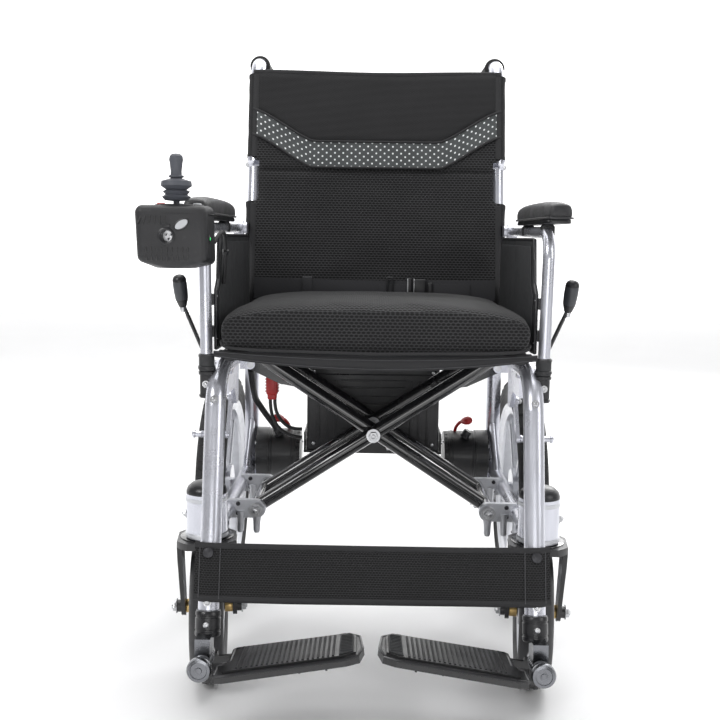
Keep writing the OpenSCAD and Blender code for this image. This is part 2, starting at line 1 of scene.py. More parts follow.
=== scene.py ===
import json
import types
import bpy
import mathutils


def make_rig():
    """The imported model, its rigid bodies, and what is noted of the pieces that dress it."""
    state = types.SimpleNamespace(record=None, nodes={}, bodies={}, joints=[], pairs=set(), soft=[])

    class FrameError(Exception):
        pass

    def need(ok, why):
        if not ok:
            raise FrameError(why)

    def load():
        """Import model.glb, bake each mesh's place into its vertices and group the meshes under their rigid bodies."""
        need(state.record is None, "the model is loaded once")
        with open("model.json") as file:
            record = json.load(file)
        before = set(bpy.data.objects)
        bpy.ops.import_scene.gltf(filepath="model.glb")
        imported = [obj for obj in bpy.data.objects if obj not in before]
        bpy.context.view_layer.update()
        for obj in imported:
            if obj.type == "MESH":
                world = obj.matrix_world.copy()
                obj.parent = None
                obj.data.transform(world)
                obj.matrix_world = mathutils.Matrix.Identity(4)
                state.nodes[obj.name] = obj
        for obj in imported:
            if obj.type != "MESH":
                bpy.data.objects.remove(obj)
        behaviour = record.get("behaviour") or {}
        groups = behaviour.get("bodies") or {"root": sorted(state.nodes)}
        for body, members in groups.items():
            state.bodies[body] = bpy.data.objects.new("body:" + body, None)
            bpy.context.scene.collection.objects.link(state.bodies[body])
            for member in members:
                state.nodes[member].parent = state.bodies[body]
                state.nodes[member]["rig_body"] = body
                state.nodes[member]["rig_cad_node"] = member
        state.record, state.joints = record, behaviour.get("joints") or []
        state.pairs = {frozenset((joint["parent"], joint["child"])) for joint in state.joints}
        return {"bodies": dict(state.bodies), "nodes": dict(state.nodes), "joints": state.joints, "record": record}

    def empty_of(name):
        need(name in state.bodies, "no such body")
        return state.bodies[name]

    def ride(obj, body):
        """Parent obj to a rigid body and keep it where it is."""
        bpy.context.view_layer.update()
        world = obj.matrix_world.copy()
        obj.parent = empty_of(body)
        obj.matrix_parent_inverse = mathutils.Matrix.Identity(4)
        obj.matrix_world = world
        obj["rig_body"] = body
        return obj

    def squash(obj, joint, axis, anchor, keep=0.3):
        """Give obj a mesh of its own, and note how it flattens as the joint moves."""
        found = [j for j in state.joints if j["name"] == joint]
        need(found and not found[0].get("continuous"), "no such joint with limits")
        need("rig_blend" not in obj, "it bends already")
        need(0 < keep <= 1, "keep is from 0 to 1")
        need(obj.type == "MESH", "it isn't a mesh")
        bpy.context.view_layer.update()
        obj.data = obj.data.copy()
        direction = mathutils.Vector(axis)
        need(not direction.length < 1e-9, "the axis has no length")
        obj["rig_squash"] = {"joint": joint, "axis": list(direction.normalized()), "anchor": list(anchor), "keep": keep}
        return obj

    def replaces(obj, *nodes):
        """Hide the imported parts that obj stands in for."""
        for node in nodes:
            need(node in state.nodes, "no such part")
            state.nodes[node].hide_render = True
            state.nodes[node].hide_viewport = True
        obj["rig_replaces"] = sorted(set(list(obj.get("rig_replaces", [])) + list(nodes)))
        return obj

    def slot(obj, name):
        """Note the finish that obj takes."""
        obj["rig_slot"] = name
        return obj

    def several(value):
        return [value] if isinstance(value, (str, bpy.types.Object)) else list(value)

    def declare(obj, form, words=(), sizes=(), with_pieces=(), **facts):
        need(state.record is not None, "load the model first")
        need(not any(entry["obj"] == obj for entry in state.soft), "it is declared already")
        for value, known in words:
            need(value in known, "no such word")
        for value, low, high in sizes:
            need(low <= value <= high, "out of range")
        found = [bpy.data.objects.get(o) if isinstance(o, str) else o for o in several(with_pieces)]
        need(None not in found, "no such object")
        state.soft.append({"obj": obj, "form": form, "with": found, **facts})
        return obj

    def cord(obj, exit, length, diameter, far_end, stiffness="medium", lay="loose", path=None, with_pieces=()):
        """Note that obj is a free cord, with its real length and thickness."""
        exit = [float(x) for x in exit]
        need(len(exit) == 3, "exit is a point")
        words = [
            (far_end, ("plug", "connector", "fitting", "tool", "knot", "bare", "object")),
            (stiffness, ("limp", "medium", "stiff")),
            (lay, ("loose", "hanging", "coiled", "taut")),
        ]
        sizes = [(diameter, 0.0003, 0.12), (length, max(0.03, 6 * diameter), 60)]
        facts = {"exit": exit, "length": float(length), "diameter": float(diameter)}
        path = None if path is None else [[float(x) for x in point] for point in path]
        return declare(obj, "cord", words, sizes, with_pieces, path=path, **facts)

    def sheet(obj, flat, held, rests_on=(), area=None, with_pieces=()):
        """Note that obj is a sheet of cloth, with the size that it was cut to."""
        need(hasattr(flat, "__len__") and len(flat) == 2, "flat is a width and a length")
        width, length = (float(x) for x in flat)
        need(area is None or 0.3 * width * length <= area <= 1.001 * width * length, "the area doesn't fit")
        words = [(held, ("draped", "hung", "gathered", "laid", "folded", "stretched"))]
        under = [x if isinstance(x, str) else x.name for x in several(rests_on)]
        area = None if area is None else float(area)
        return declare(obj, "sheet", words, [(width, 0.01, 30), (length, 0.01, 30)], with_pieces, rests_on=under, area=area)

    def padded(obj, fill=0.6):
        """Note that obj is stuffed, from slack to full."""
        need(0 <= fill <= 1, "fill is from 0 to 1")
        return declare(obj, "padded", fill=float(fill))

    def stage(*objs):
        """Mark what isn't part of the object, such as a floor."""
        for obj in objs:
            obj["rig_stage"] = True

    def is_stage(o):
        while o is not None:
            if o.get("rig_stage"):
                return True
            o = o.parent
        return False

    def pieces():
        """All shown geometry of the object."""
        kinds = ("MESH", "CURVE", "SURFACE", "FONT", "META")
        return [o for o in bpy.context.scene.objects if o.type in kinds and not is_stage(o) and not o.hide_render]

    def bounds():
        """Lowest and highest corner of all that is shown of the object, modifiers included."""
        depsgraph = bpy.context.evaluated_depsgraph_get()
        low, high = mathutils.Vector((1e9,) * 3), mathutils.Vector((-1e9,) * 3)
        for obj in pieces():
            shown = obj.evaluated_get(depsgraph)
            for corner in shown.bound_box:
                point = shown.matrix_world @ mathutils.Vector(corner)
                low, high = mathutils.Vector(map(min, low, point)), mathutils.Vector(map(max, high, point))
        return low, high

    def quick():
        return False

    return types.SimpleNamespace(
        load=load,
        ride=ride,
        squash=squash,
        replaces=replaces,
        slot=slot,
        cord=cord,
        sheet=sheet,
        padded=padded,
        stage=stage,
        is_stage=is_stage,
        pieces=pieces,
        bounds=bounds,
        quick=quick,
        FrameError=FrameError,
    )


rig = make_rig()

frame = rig.load()

import json
import math

import bpy
import bmesh
from mathutils import Matrix, Vector, noise

CAD_BOX = [list(v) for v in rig.bounds()]
MM, YC = 0.001, 280.5
HW, LEAN = 221.0, math.radians(14.4)
REAR_Y = 455.0
HINGE = (535.0, 795.0)


# ---------------------------------------------------------------- geometry
# every point is in millimetres with Y = 0 at the front tube; put() turns it into metres in the row frame
def front_at(z): return -52 + (z - 141) * math.tan(LEAN)
def cane_at(z): return REAR_Y if z < 560 else REAR_Y + (z - 560) * 0.23
def lerp(a, b, t): return a + (b - a) * t
def sstep(a, b, x):
    t = min(1.0, max(0.0, (x - a) / (b - a)))
    return t * t * (3 - 2 * t)


def frame_of(axis):
    z = Vector(axis).normalized()
    x = Vector((0, 0, 1)).cross(z) if abs(z.z) < 0.9 else Vector((1, 0, 0)).cross(z)
    x.normalize()
    return x, z.cross(x), z


def lathe(profile, origin, axis, n=48):
    """profile is (radius, height) along axis; closes on the axis at both ends"""
    x, y, z = frame_of(axis)
    o = Vector(origin)
    vs, fs, rings = [], [], []
    for r, h in profile:
        if r < 1e-6:
            vs.append(o + z * h); rings.append([len(vs) - 1])
        else:
            rings.append(list(range(len(vs), len(vs) + n)))
            for i in range(n):
                a = 2 * math.pi * i / n
                vs.append(o + z * h + (x * math.cos(a) + y * math.sin(a)) * r)
    for a, b in zip(rings, rings[1:]):
        if len(a) == 1 and len(b) == 1:
            continue
        for i in range(n):
            j = (i + 1) % n
            if len(a) == 1: fs.append((a[0], b[j], b[i]))
            elif len(b) == 1: fs.append((a[i], a[j], b[0]))
            else: fs.append((a[i], a[j], b[j], b[i]))
    if len(rings[0]) > 1 and profile[0] != profile[-1]: fs.append(tuple(reversed(rings[0])))
    if len(rings[-1]) > 1 and profile[0] != profile[-1]: fs.append(tuple(rings[-1]))
    return vs, fs


def ring(profile, origin, axis, n=48):
    """closed profile turned round the axis, such as a tyre or a washer"""
    p = list(profile)
    return lathe(p + [p[0]], origin, axis, n)


def smooth_path(pts, per=8):
    pts = [Vector(p) for p in pts]
    out = []
    for i in range(len(pts) - 1):
        p0, p1, p2, p3 = pts[max(0, i - 1)], pts[i], pts[i + 1], pts[min(len(pts) - 1, i + 2)]
        for k in range(per):
            t = k / per
            out.append(0.5 * (2 * p1 + (p2 - p0) * t + (2 * p0 - 5 * p1 + 4 * p2 - p3) * t * t + (3 * p1 - p0 - 3 * p2 + p3) * t ** 3))
    return out + [pts[-1]]


def tube(pts, r, n=14, closed=False, flat=None, up=None):
    """round tube along pts, or an oval one of half-sizes flat = (across, up)"""
    pts = [Vector(p) for p in pts]
    m = len(pts)
    vs, fs = [], []
    prev = None
    for i, p in enumerate(pts):
        if closed: d = pts[(i + 1) % m] - pts[i - 1]
        else: d = pts[min(m - 1, i + 1)] - pts[max(0, i - 1)]
        d.normalize()
        if up is not None:
            u = Vector(up); u = (u - d * u.dot(d)).normalized()
        elif prev is None:
            u = frame_of(d)[0]
        else:
            u = (prev - d * prev.dot(d)).normalized()
        prev = u
        w = d.cross(u)
        rr = r[i] if isinstance(r, (list, tuple)) else r
        for k in range(n):
            a = 2 * math.pi * k / n
            ca, sa = math.cos(a), math.sin(a)
            if flat: vs.append(p + w * (flat[0] * ca) + u * (flat[1] * sa))
            else: vs.append(p + (w * ca + u * sa) * rr)
    for i in range(m if closed else m - 1):
        a, b = i * n, ((i + 1) % m) * n
        for k in range(n):
            j = (k + 1) % n
            fs.append((a + k, a + j, b + j, b + k))
    if not closed:
        fs.append(tuple(reversed(range(n))))
        fs.append(tuple(range((m - 1) * n, m * n)))
    return vs, fs


def _bm_out(bm):
    bmesh.ops.recalc_face_normals(bm, faces=bm.faces)
    bm.verts.index_update()
    vs = [v.co.copy() for v in bm.verts]
    fs = [tuple(v.index for v in f.verts) for f in bm.faces]
    bm.free()
    return vs, fs


def rbox(c, size, bevel=2.0, rot=None, seg=3):
    bm = bmesh.new()
    bmesh.ops.create_cube(bm, size=1.0)
    for v in bm.verts: v.co = Vector((v.co.x * size[0], v.co.y * size[1], v.co.z * size[2]))
    bevel = min(bevel, 0.45 * min(size))
    bmesh.ops.bevel(bm, geom=bm.edges[:] , offset=bevel, segments=seg, profile=0.5, affect="EDGES")
    m = Matrix.Translation(Vector(c)) @ (rot if rot is not None else Matrix.Identity(4))
    for v in bm.verts: v.co = m @ v.co
    return _bm_out(bm)


def rot(axis, deg): return Matrix.Rotation(math.radians(deg), 4, axis)


def prism(poly, h0, h1, fn, bevel=1.0, seg=2):
    """extrudes a flat outline from h0 to h1 with softened edges; fn turns (a, b, h) into a point"""
    bm = bmesh.new()
    bot = [bm.verts.new((a, b, h0)) for a, b in poly]
    top = [bm.verts.new((a, b, h1)) for a, b in poly]
    bm.faces.new(list(reversed(bot))); bm.faces.new(top)
    n = len(poly)
    for i in range(n): bm.faces.new((bot[i], bot[(i + 1) % n], top[(i + 1) % n], top[i]))
    bmesh.ops.recalc_face_normals(bm, faces=bm.faces)
    if bevel > 0:
        es = [e for e in bm.edges if abs(e.verts[0].co.z - e.verts[1].co.z) < 1e-6]
        bmesh.ops.bevel(bm, geom=es, offset=bevel, segments=seg, profile=0.5, affect="EDGES")
    for v in bm.verts: v.co = Vector(fn(v.co.x, v.co.y, v.co.z))
    return _bm_out(bm)


def slab(front, back, nu, nv):
    """closed sheet between two grids of points given by functions of u, v in 0..1"""
    vs = []
    for f in (front, back):
        for j in range(nv + 1):
            for i in range(nu + 1): vs.append(Vector(f(i / nu, j / nv)))
    w, off = nu + 1, (nu + 1) * (nv + 1)
    fs = []
    for j in range(nv):
        for i in range(nu):
            a = j * w + i
            fs.append((a, a + 1, a + w + 1, a + w))
            fs.append((off + a, off + a + w, off + a + w + 1, off + a + 1))
    rim = [i for i in range(nu)] + [nu + j * w for j in range(nv)] + [nv * w + nu - i for i in range(nu)] + [(nv - j) * w for j in range(nv)]
    for k in range(len(rim)):
        a, b = rim[k], rim[(k + 1) % len(rim)]
        fs.append((b, a, off + a, off + b))
    return vs, fs


def bolt(p, axis, r=6.0, h=4.0, kind="hex", washer=True):
    parts = []
    base = 0.0
    p = Vector(p)
    a = Vector(axis).normalized()
    if washer:
        parts.append(lathe([(0, -0.6), (r * 1.45, -0.6), (r * 1.5, 0.2), (r * 1.45, 1.0), (0, 1.0)], p, a, 28))
        base = 1.0
    x, y, z = frame_of(a)
    if kind == "hex":
        vs, fs = [], []
        lv = [(0.93, 0), (1.0, h * 0.1), (1.0, h * 0.8), (0.9, h)]
        for k, (q, hh) in enumerate(lv):
            for i in range(6):
                t = math.pi / 3 * i
                vs.append(p + z * (base + hh) + (x * math.cos(t) + y * math.sin(t)) * r * q)
        for k in range(len(lv) - 1):
            for i in range(6):
                j = (i + 1) % 6
                fs.append((k * 6 + i, k * 6 + j, k * 6 + 6 + j, k * 6 + 6 + i))
        fs.append(tuple(reversed(range(6))))
        fs.append(tuple(range(18, 24)))
        parts.append((vs, fs))
        parts.append(lathe([(0, base + h - 0.5), (r * 0.55, base + h - 0.5), (r * 0.55, base + h + 1.2), (r * 0.42, base + h + 1.8), (0, base + h + 1.8)], p, a, 18))
    else:
        prof = [(0, base - 0.4), (r, base - 0.4), (r, base + h * 0.25), (r * 0.93, base + h * 0.6), (r * 0.72, base + h * 0.9), (r * 0.5, base + h)]
        if kind == "socket": prof += [(r * 0.46, base + h), (r * 0.44, base + h * 0.35), (0, base + h * 0.35)]
        else: prof += [(0, base + h * 1.04)]
        parts.append(lathe(prof, p, a, 24))
        if kind == "cross":
            for q in (0, 90):
                m = Matrix((x, y, z)).transposed().to_4x4() @ rot("Z", q)
                parts.append(rbox(p + z * (base + h * 0.98), (r * 1.1, r * 0.24, r * 0.22), 0.1, m, 1))
    return parts


PIECES = []


def put(name, parts, mat, body=None, s=1, slot=None, sharp=35, uv=None, smooth=True):
    """joins parts into one mesh object, mirrored to the -X side when s is -1"""
    if isinstance(parts, tuple): parts = [parts]
    vs, fs = [], []
    for pv, pf in parts:
        o = len(vs)
        for v in pv: vs.append((v[0] * s * MM, (v[1] - YC) * MM, v[2] * MM))
        for f in pf: fs.append(tuple(o + i for i in (f if s > 0 else reversed(f))))
    me = bpy.data.meshes.new(name)
    me.from_pydata(vs, [], fs)
    me.validate()
    me.update()
    if smooth:
        me.shade_smooth()
        me.set_sharp_from_angle(angle=math.radians(sharp))
    if uv == "box": box_uv(me)
    elif uv: map_uv(me, uv)
    ob = bpy.data.objects.new(name, me)
    bpy.context.scene.collection.objects.link(ob)
    me.materials.append(mat)
    if slot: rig.slot(ob, slot)
    if body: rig.ride(ob, body)
    PIECES.append(ob)
    return ob


def box_uv(me):
    lay = me.uv_layers.new(name="uv")
    for p in me.polygons:
        n = p.normal
        a = max(range(3), key=lambda k: abs(n[k]))
        for li in p.loop_indices:
            c = me.vertices[me.loops[li].vertex_index].co
            lay.data[li].uv = ((c.y, c.z), (c.x, c.z), (c.x, c.y))[a]


def map_uv(me, fn):
    lay = me.uv_layers.new(name="uv")
    for p in me.polygons:
        for li in p.loop_indices:
            lay.data[li].uv = fn(me.vertices[me.loops[li].vertex_index].co)


# ---------------------------------------------------------------- materials
class Nodes:
    def __init__(s, nt):
        s.nt = nt
        tc = s.new("ShaderNodeTexCoord")
        s.obj, s.uv = tc.outputs["Object"], tc.outputs["UV"]

    def new(s, kind, **k):
        n = s.nt.nodes.new(kind)
        for a, v in k.items(): setattr(n, a, v)
        return n

    def feed(s, sock, v):
        if hasattr(v, "is_output"): s.nt.links.new(v, sock)
        elif v is not None: sock.default_value = v

    def math(s, op, a, b=None, c=None, clamp=False):
        n = s.new("ShaderNodeMath", operation=op, use_clamp=clamp)
        s.feed(n.inputs[0], a)
        if b is not None: s.feed(n.inputs[1], b)
        if c is not None: s.feed(n.inputs[2], c)
        return n.outputs[0]

    def noise(s, scale, detail=3.0, rough=0.5, vec=None, dist=0.0):
        n = s.new("ShaderNodeTexNoise")
        n.inputs["Scale"].default_value = scale
        n.inputs["Detail"].default_value = detail
        n.inputs["Roughness"].default_value = rough
        n.inputs["Distortion"].default_value = dist
        s.feed(n.inputs["Vector"], vec or s.obj)
        return n.outputs["Fac"]

    def voronoi(s, scale, feature="F1", vec=None, rnd=1.0):
        n = s.new("ShaderNodeTexVoronoi", feature=feature)
        n.inputs["Scale"].default_value = scale
        n.inputs["Randomness"].default_value = rnd
        s.feed(n.inputs["Vector"], vec or s.obj)
        return n.outputs["Distance"]

    def scaled(s, vec, sc):
        n = s.new("ShaderNodeMapping")
        n.inputs["Scale"].default_value = sc
        s.feed(n.inputs["Vector"], vec)
        return n.outputs[0]

    def ramp(s, fac, lo, hi, a=0.0, b=1.0):
        n = s.new("ShaderNodeMapRange", interpolation_type="SMOOTHSTEP")
        s.feed(n.inputs["Value"], fac)
        n.inputs["From Min"].default_value, n.inputs["From Max"].default_value = lo, hi
        n.inputs["To Min"].default_value, n.inputs["To Max"].default_value = a, b
        return n.outputs[0]

    def mix(s, fac, a, b):
        n = s.new("ShaderNodeMix", data_type="RGBA")
        s.feed(n.inputs[0], fac)
        s.feed(n.inputs[6], tuple(a) + (1,) if isinstance(a, (tuple, list)) else a)
        s.feed(n.inputs[7], tuple(b) + (1,) if isinstance(b, (tuple, list)) else b)
        return n.outputs[2]

    def cells(s, p, q, uv=None, stretch=1.0):
        """distance from the nearest centre of a staggered lattice of pitch p across and q along, in metres"""
        sep = s.new("ShaderNodeSeparateXYZ")
        s.feed(sep.inputs[0], uv or s.uv)
        b = s.math("MULTIPLY", sep.outputs[1], 1 / q)
        row = s.math("FLOOR", b)
        odd = s.math("MULTIPLY", s.math("FLOORED_MODULO", row, 2.0), 0.5)
        a = s.math("ADD", s.math("MULTIPLY", sep.outputs[0], 1 / p), odd)
        fa = s.math("MULTIPLY", s.math("SUBTRACT", s.math("FRACT", a), 0.5), p * stretch)
        fb = s.math("MULTIPLY", s.math("SUBTRACT", s.math("FRACT", b), 0.5), q)
        return s.math("SQRT", s.math("ADD", s.math("MULTIPLY", fa, fa), s.math("MULTIPLY", fb, fb)))


MATS = {}


def material(name, color, rough, metal=0.0, coat=0.0, coat_rough=0.08, sheen=0.0, spec=0.5, fn=None):
    m = bpy.data.materials.new(name)
    m.use_nodes = True
    m.diffuse_color = tuple(color) + (1,)
    nt = m.node_tree
    nt.nodes.clear()
    n = Nodes(nt)
    out = n.new("ShaderNodeOutputMaterial")
    sh = n.new("ShaderNodeBsdfPrincipled")
    nt.links.new(sh.outputs[0], out.inputs[0])
    sh.inputs["Base Color"].default_value = tuple(color) + (1,)
    sh.inputs["Roughness"].default_value = rough
    sh.inputs["Metallic"].default_value = metal
    sh.inputs["Specular IOR Level"].default_value = spec
    sh.inputs["Coat Weight"].default_value = coat
    sh.inputs["Coat Roughness"].default_value = coat_rough
    sh.inputs["Sheen Weight"].default_value = sheen
    got = fn(n) if fn else {}
    if "color" in got: nt.links.new(got["color"], sh.inputs["Base Color"])
    if "rough" in got: nt.links.new(got["rough"], sh.inputs["Roughness"])
    prev = None
    for h, strength, dist in got.get("bump", []):
        b = n.new("ShaderNodeBump")
        b.inputs["Strength"].default_value = strength
        b.inputs["Distance"].default_value = dist
        nt.links.new(h, b.inputs["Height"])
        if prev: nt.links.new(prev, b.inputs["Normal"])
        prev = b.outputs[0]
    if prev: nt.links.new(prev, sh.inputs["Normal"])
    if "emit" in got:
        sh.inputs["Emission Color"].default_value = got["emit"][0] + (1,)
        sh.inputs["Emission Strength"].default_value = got["emit"][1]
    MATS[name] = m
    return m


def metal_fn(base, dark, r0, r1, fine=1400, grain=0.06, streak=False):
    def f(n):
        a = n.noise(9, 4, 0.6)
        b = n.noise(fine, 2, 0.5)
        c = n.noise(60, 3, 0.6, n.scaled(n.obj, (1, 1, 0.12)) if streak else None)
        r = n.math("ADD", n.ramp(a, 0.35, 0.7, r0, r1), n.math("MULTIPLY", b, 0.08))
        wear = n.ramp(n.noise(34, 8, 0.72), 0.62, 0.72)
        col = n.mix(n.math("MULTIPLY", wear, 0.35), n.mix(n.ramp(c, 0.3, 0.7), base, tuple(v * 0.9 for v in base)), dark)
        return {"color": col, "rough": r, "bump": [(b, grain, 0.0004), (c, 0.03, 0.001)]}
    return f


def paint_fn(base, lift, r0, r1, peel=0.08):
    def f(n):
        a = n.noise(14, 5, 0.65)
        p = n.noise(320, 2, 0.5)
        dust = n.ramp(n.noise(70, 8, 0.7), 0.55, 0.75)
        return {"color": n.mix(n.math("MULTIPLY", dust, 0.5), base, lift), "rough": n.ramp(a, 0.3, 0.7, r0, r1), "bump": [(p, peel, 0.0006)]}
    return f


def grain_fn(base, lift, r0, r1, scale=900, strength=0.25, dist=0.0005):
    def f(n):
        v = n.voronoi(scale)
        a = n.noise(20, 5, 0.6)
        dust = n.ramp(n.noise(120, 8, 0.75), 0.5, 0.8)
        return {"color": n.mix(n.math("MULTIPLY", dust, 0.55), base, lift), "rough": n.ramp(a, 0.3, 0.7, r0, r1),
                "bump": [(v, strength, dist), (n.noise(7, 3, 0.5), 0.05, 0.004)]}
    return f


def mesh_fn(thread, hole, p, q, r, depth=0.0009, shade=0.0, stretch=0.62):
    """knitted spacer mesh: staggered oval eyelets in a ribbed face, the eyelet holes coloured near-black as painted
    shade
    """
    def f(n):
        d = n.cells(p, q, None, stretch)
        eye = n.ramp(d, r * 0.55, r * 1.15)
        fuzz = n.noise(2600, 3, 0.6, n.uv)
        soft = n.noise(16, 4, 0.55)
        lit = n.math("MULTIPLY", eye, n.ramp(n.math("ADD", fuzz, n.math("MULTIPLY", soft, 0.5)), 0.45, 1.05, 0.55, 1.0))
        # painted shade: the eyelet holes take the near-black hole colour and the threads take the thread colour
        col = n.mix(lit, hole, thread)
        return {"color": col, "rough": n.ramp(eye, 0, 1, 0.95, 0.72),
                "bump": [(eye, 0.75, depth), (fuzz, 0.25, 0.0003), (n.noise(42, 3, 0.5), 0.15, 0.003)]}
    return f


def web_fn(thread, dark, p=0.0021):
    def f(n):
        w = n.new("ShaderNodeTexWave", wave_type="BANDS", bands_direction="DIAGONAL")
        w.inputs["Scale"].default_value = 1 / p / 6.0
        w.inputs["Distortion"].default_value = 0.6
        n.feed(w.inputs["Vector"], n.uv)
        d = n.cells(p, p * 0.55)
        k = n.ramp(d, p * 0.12, p * 0.5)
        fuzz = n.noise(3000, 2, 0.6, n.uv)
        return {"color": n.mix(n.math("MULTIPLY", k, n.ramp(fuzz, 0.3, 0.8, 0.5, 1)), thread, dark), "rough": n.ramp(fuzz, 0.2, 0.8, 0.6, 0.85),
                "bump": [(k, -0.5, 0.0005), (w.outputs["Fac"], 0.2, 0.0004)]}
    return f


silver = material("silver_tube", (0.66, 0.67, 0.73), 0.3, 0.8, 0.35, 0.15, fn=metal_fn((0.66, 0.67, 0.735), (0.36, 0.36, 0.39), 0.2, 0.31, streak=True))
cast = material("cast_silver", (0.62, 0.63, 0.65), 0.4, 0.85, fn=metal_fn((0.63, 0.64, 0.67), (0.25, 0.25, 0.26), 0.3, 0.46, 700, 0.22))
zinc = material("zinc_bolt", (0.55, 0.56, 0.58), 0.3, 1.0, fn=metal_fn((0.58, 0.585, 0.6), (0.3, 0.29, 0.27), 0.2, 0.4, 900, 0.12))
steel_dark = material("black_bolt", (0.04, 0.04, 0.045), 0.35, 0.6, fn=metal_fn((0.05, 0.05, 0.055), (0.14, 0.14, 0.145), 0.25, 0.42, 900, 0.12))
brass = material("brass", (0.62, 0.42, 0.16), 0.3, 1.0, fn=metal_fn((0.64, 0.45, 0.19), (0.3, 0.2, 0.08), 0.25, 0.42, 900, 0.1))
gloss = material("black_paint", (0.008, 0.008, 0.009), 0.25, 0.0, 1.0, 0.04, fn=paint_fn((0.007, 0.007, 0.008), (0.03, 0.03, 0.033), 0.16, 0.3))
satin_black = material("satin_black", (0.012, 0.012, 0.013), 0.4, 0.0, 0.3, 0.25, fn=paint_fn((0.011, 0.011, 0.012), (0.035, 0.035, 0.038), 0.34, 0.48, 0.14))
chrome = material("dark_chrome", (0.2, 0.205, 0.22), 0.22, 1.0, fn=metal_fn((0.2, 0.205, 0.22), (0.42, 0.42, 0.44), 0.16, 0.34, 500, 0.16))
plastic = material("black_plastic", (0.016, 0.016, 0.018), 0.5, 0.0, fn=grain_fn((0.016, 0.016, 0.018), (0.045, 0.045, 0.048), 0.4, 0.56))
smooth_plastic = material("smooth_plastic", (0.014, 0.014, 0.016), 0.34, 0.0, fn=grain_fn((0.013, 0.013, 0.015), (0.035, 0.035, 0.04), 0.27, 0.4, 1500, 0.08))
matte_plastic = material("matte_plastic", (0.03, 0.031, 0.033), 0.62, 0.0, fn=grain_fn((0.026, 0.027, 0.029), (0.07, 0.07, 0.074), 0.55, 0.7, 700, 0.3))
grey_plastic = material("grey_plastic", (0.52, 0.53, 0.55), 0.45, 0.0, fn=grain_fn((0.5, 0.51, 0.53), (0.38, 0.38, 0.39), 0.38, 0.52, 900, 0.12))
pink_plastic = material("pale_plastic", (0.7, 0.5, 0.47), 0.5, 0.0, fn=grain_fn((0.7, 0.52, 0.49), (0.5, 0.36, 0.33), 0.42, 0.55, 900, 0.12))
red = material("red_plastic", (0.42, 0.02, 0.02), 0.4, 0.0, fn=grain_fn((0.43, 0.02, 0.02), (0.24, 0.015, 0.015), 0.32, 0.48, 900, 0.15))
rubber = material("tyre_rubber", (0.02, 0.02, 0.021), 0.75, 0.0, fn=grain_fn((0.016, 0.016, 0.017), (0.05, 0.049, 0.047), 0.62, 0.82, 500, 0.3, 0.0008))
caster_rubber = material("caster_rubber", (0.022, 0.022, 0.024), 0.55, 0.0, fn=grain_fn((0.02, 0.02, 0.022), (0.05, 0.05, 0.05), 0.42, 0.6, 650, 0.2, 0.0006))
grip = material("grip_rubber", (0.014, 0.014, 0.015), 0.6, 0.0, fn=grain_fn((0.014, 0.014, 0.015), (0.04, 0.04, 0.04), 0.5, 0.68, 800, 0.25))
rim_mat = material("rim_silver", (0.6, 0.61, 0.64), 0.35, 0.75, 0.5, 0.12, fn=metal_fn((0.6, 0.61, 0.645), (0.32, 0.32, 0.33), 0.28, 0.42, 1200, 0.08))
skin = material("pad_foam", (0.02, 0.02, 0.022), 0.42, 0.0, sheen=0.1, fn=grain_fn((0.017, 0.017, 0.019), (0.04, 0.04, 0.042), 0.36, 0.5, 620, 0.35, 0.0007))
# the second colour given to each mesh material is painted shade for its eyelet holes
coarse_mesh = material("mesh_fabric", (0.04, 0.04, 0.045), 0.8, 0.0, sheen=0.06, fn=mesh_fn((0.026, 0.026, 0.029), (0.0016, 0.0016, 0.002), 0.0066, 0.0043, 0.0021))
fine_mesh = material("mesh_fabric_fine", (0.03, 0.03, 0.033), 0.8, 0.0, sheen=0.05, fn=mesh_fn((0.017, 0.017, 0.0195), (0.0025, 0.0025, 0.003), 0.0026, 0.0021, 0.00085, 0.0005))
strap_mesh = material("mesh_fabric_strap", (0.02, 0.02, 0.022), 0.75, 0.0, sheen=0.05, fn=mesh_fn((0.017, 0.017, 0.019), (0.0016, 0.0016, 0.002), 0.0042, 0.003, 0.0014))
webbing = material("web_fabric", (0.014, 0.014, 0.016), 0.7, 0.0, sheen=0.08, fn=web_fn((0.04, 0.04, 0.045), (0.014, 0.014, 0.016)))
binding = material("binding_tape", (0.02, 0.02, 0.022), 0.7, 0.0, sheen=0.05, fn=web_fn((0.016, 0.016, 0.018), (0.005, 0.005, 0.006), 0.0013))


slate = material("joystick_rubber", (0.07, 0.075, 0.088), 0.5, 0.0, fn=grain_fn((0.075, 0.08, 0.095), (0.12, 0.125, 0.14), 0.42, 0.6, 900, 0.15))
lever_grip = material("lever_grip", (0.045, 0.048, 0.055), 0.35, 0.0, fn=grain_fn((0.045, 0.048, 0.055), (0.09, 0.09, 0.1), 0.28, 0.42, 1200, 0.08))
stitch = material("stitching", (0.06, 0.06, 0.065), 0.8, 0.0, fn=web_fn((0.07, 0.07, 0.076), (0.03, 0.03, 0.033), 0.0008))


def band_fn(n):
    d = n.cells(0.015, 0.0062)
    dot = n.ramp(d, 0.0013, 0.0019, 1.0, 0.0)
    weave = n.cells(0.0011, 0.0009)
    w = n.ramp(weave, 0.0002, 0.0006)
    base = n.mix(n.ramp(n.noise(30, 4, 0.5), 0.3, 0.7), (0.04, 0.045, 0.047), (0.06, 0.066, 0.068))
    base = n.mix(n.math("MULTIPLY", w, 0.25), base, (0.02, 0.024, 0.025))
    return {"color": n.mix(dot, base, (0.83, 0.85, 0.86)), "rough": n.ramp(dot, 0, 1, 0.55, 0.28), "bump": [(w, -0.2, 0.0003), (dot, 0.2, 0.0003)]}


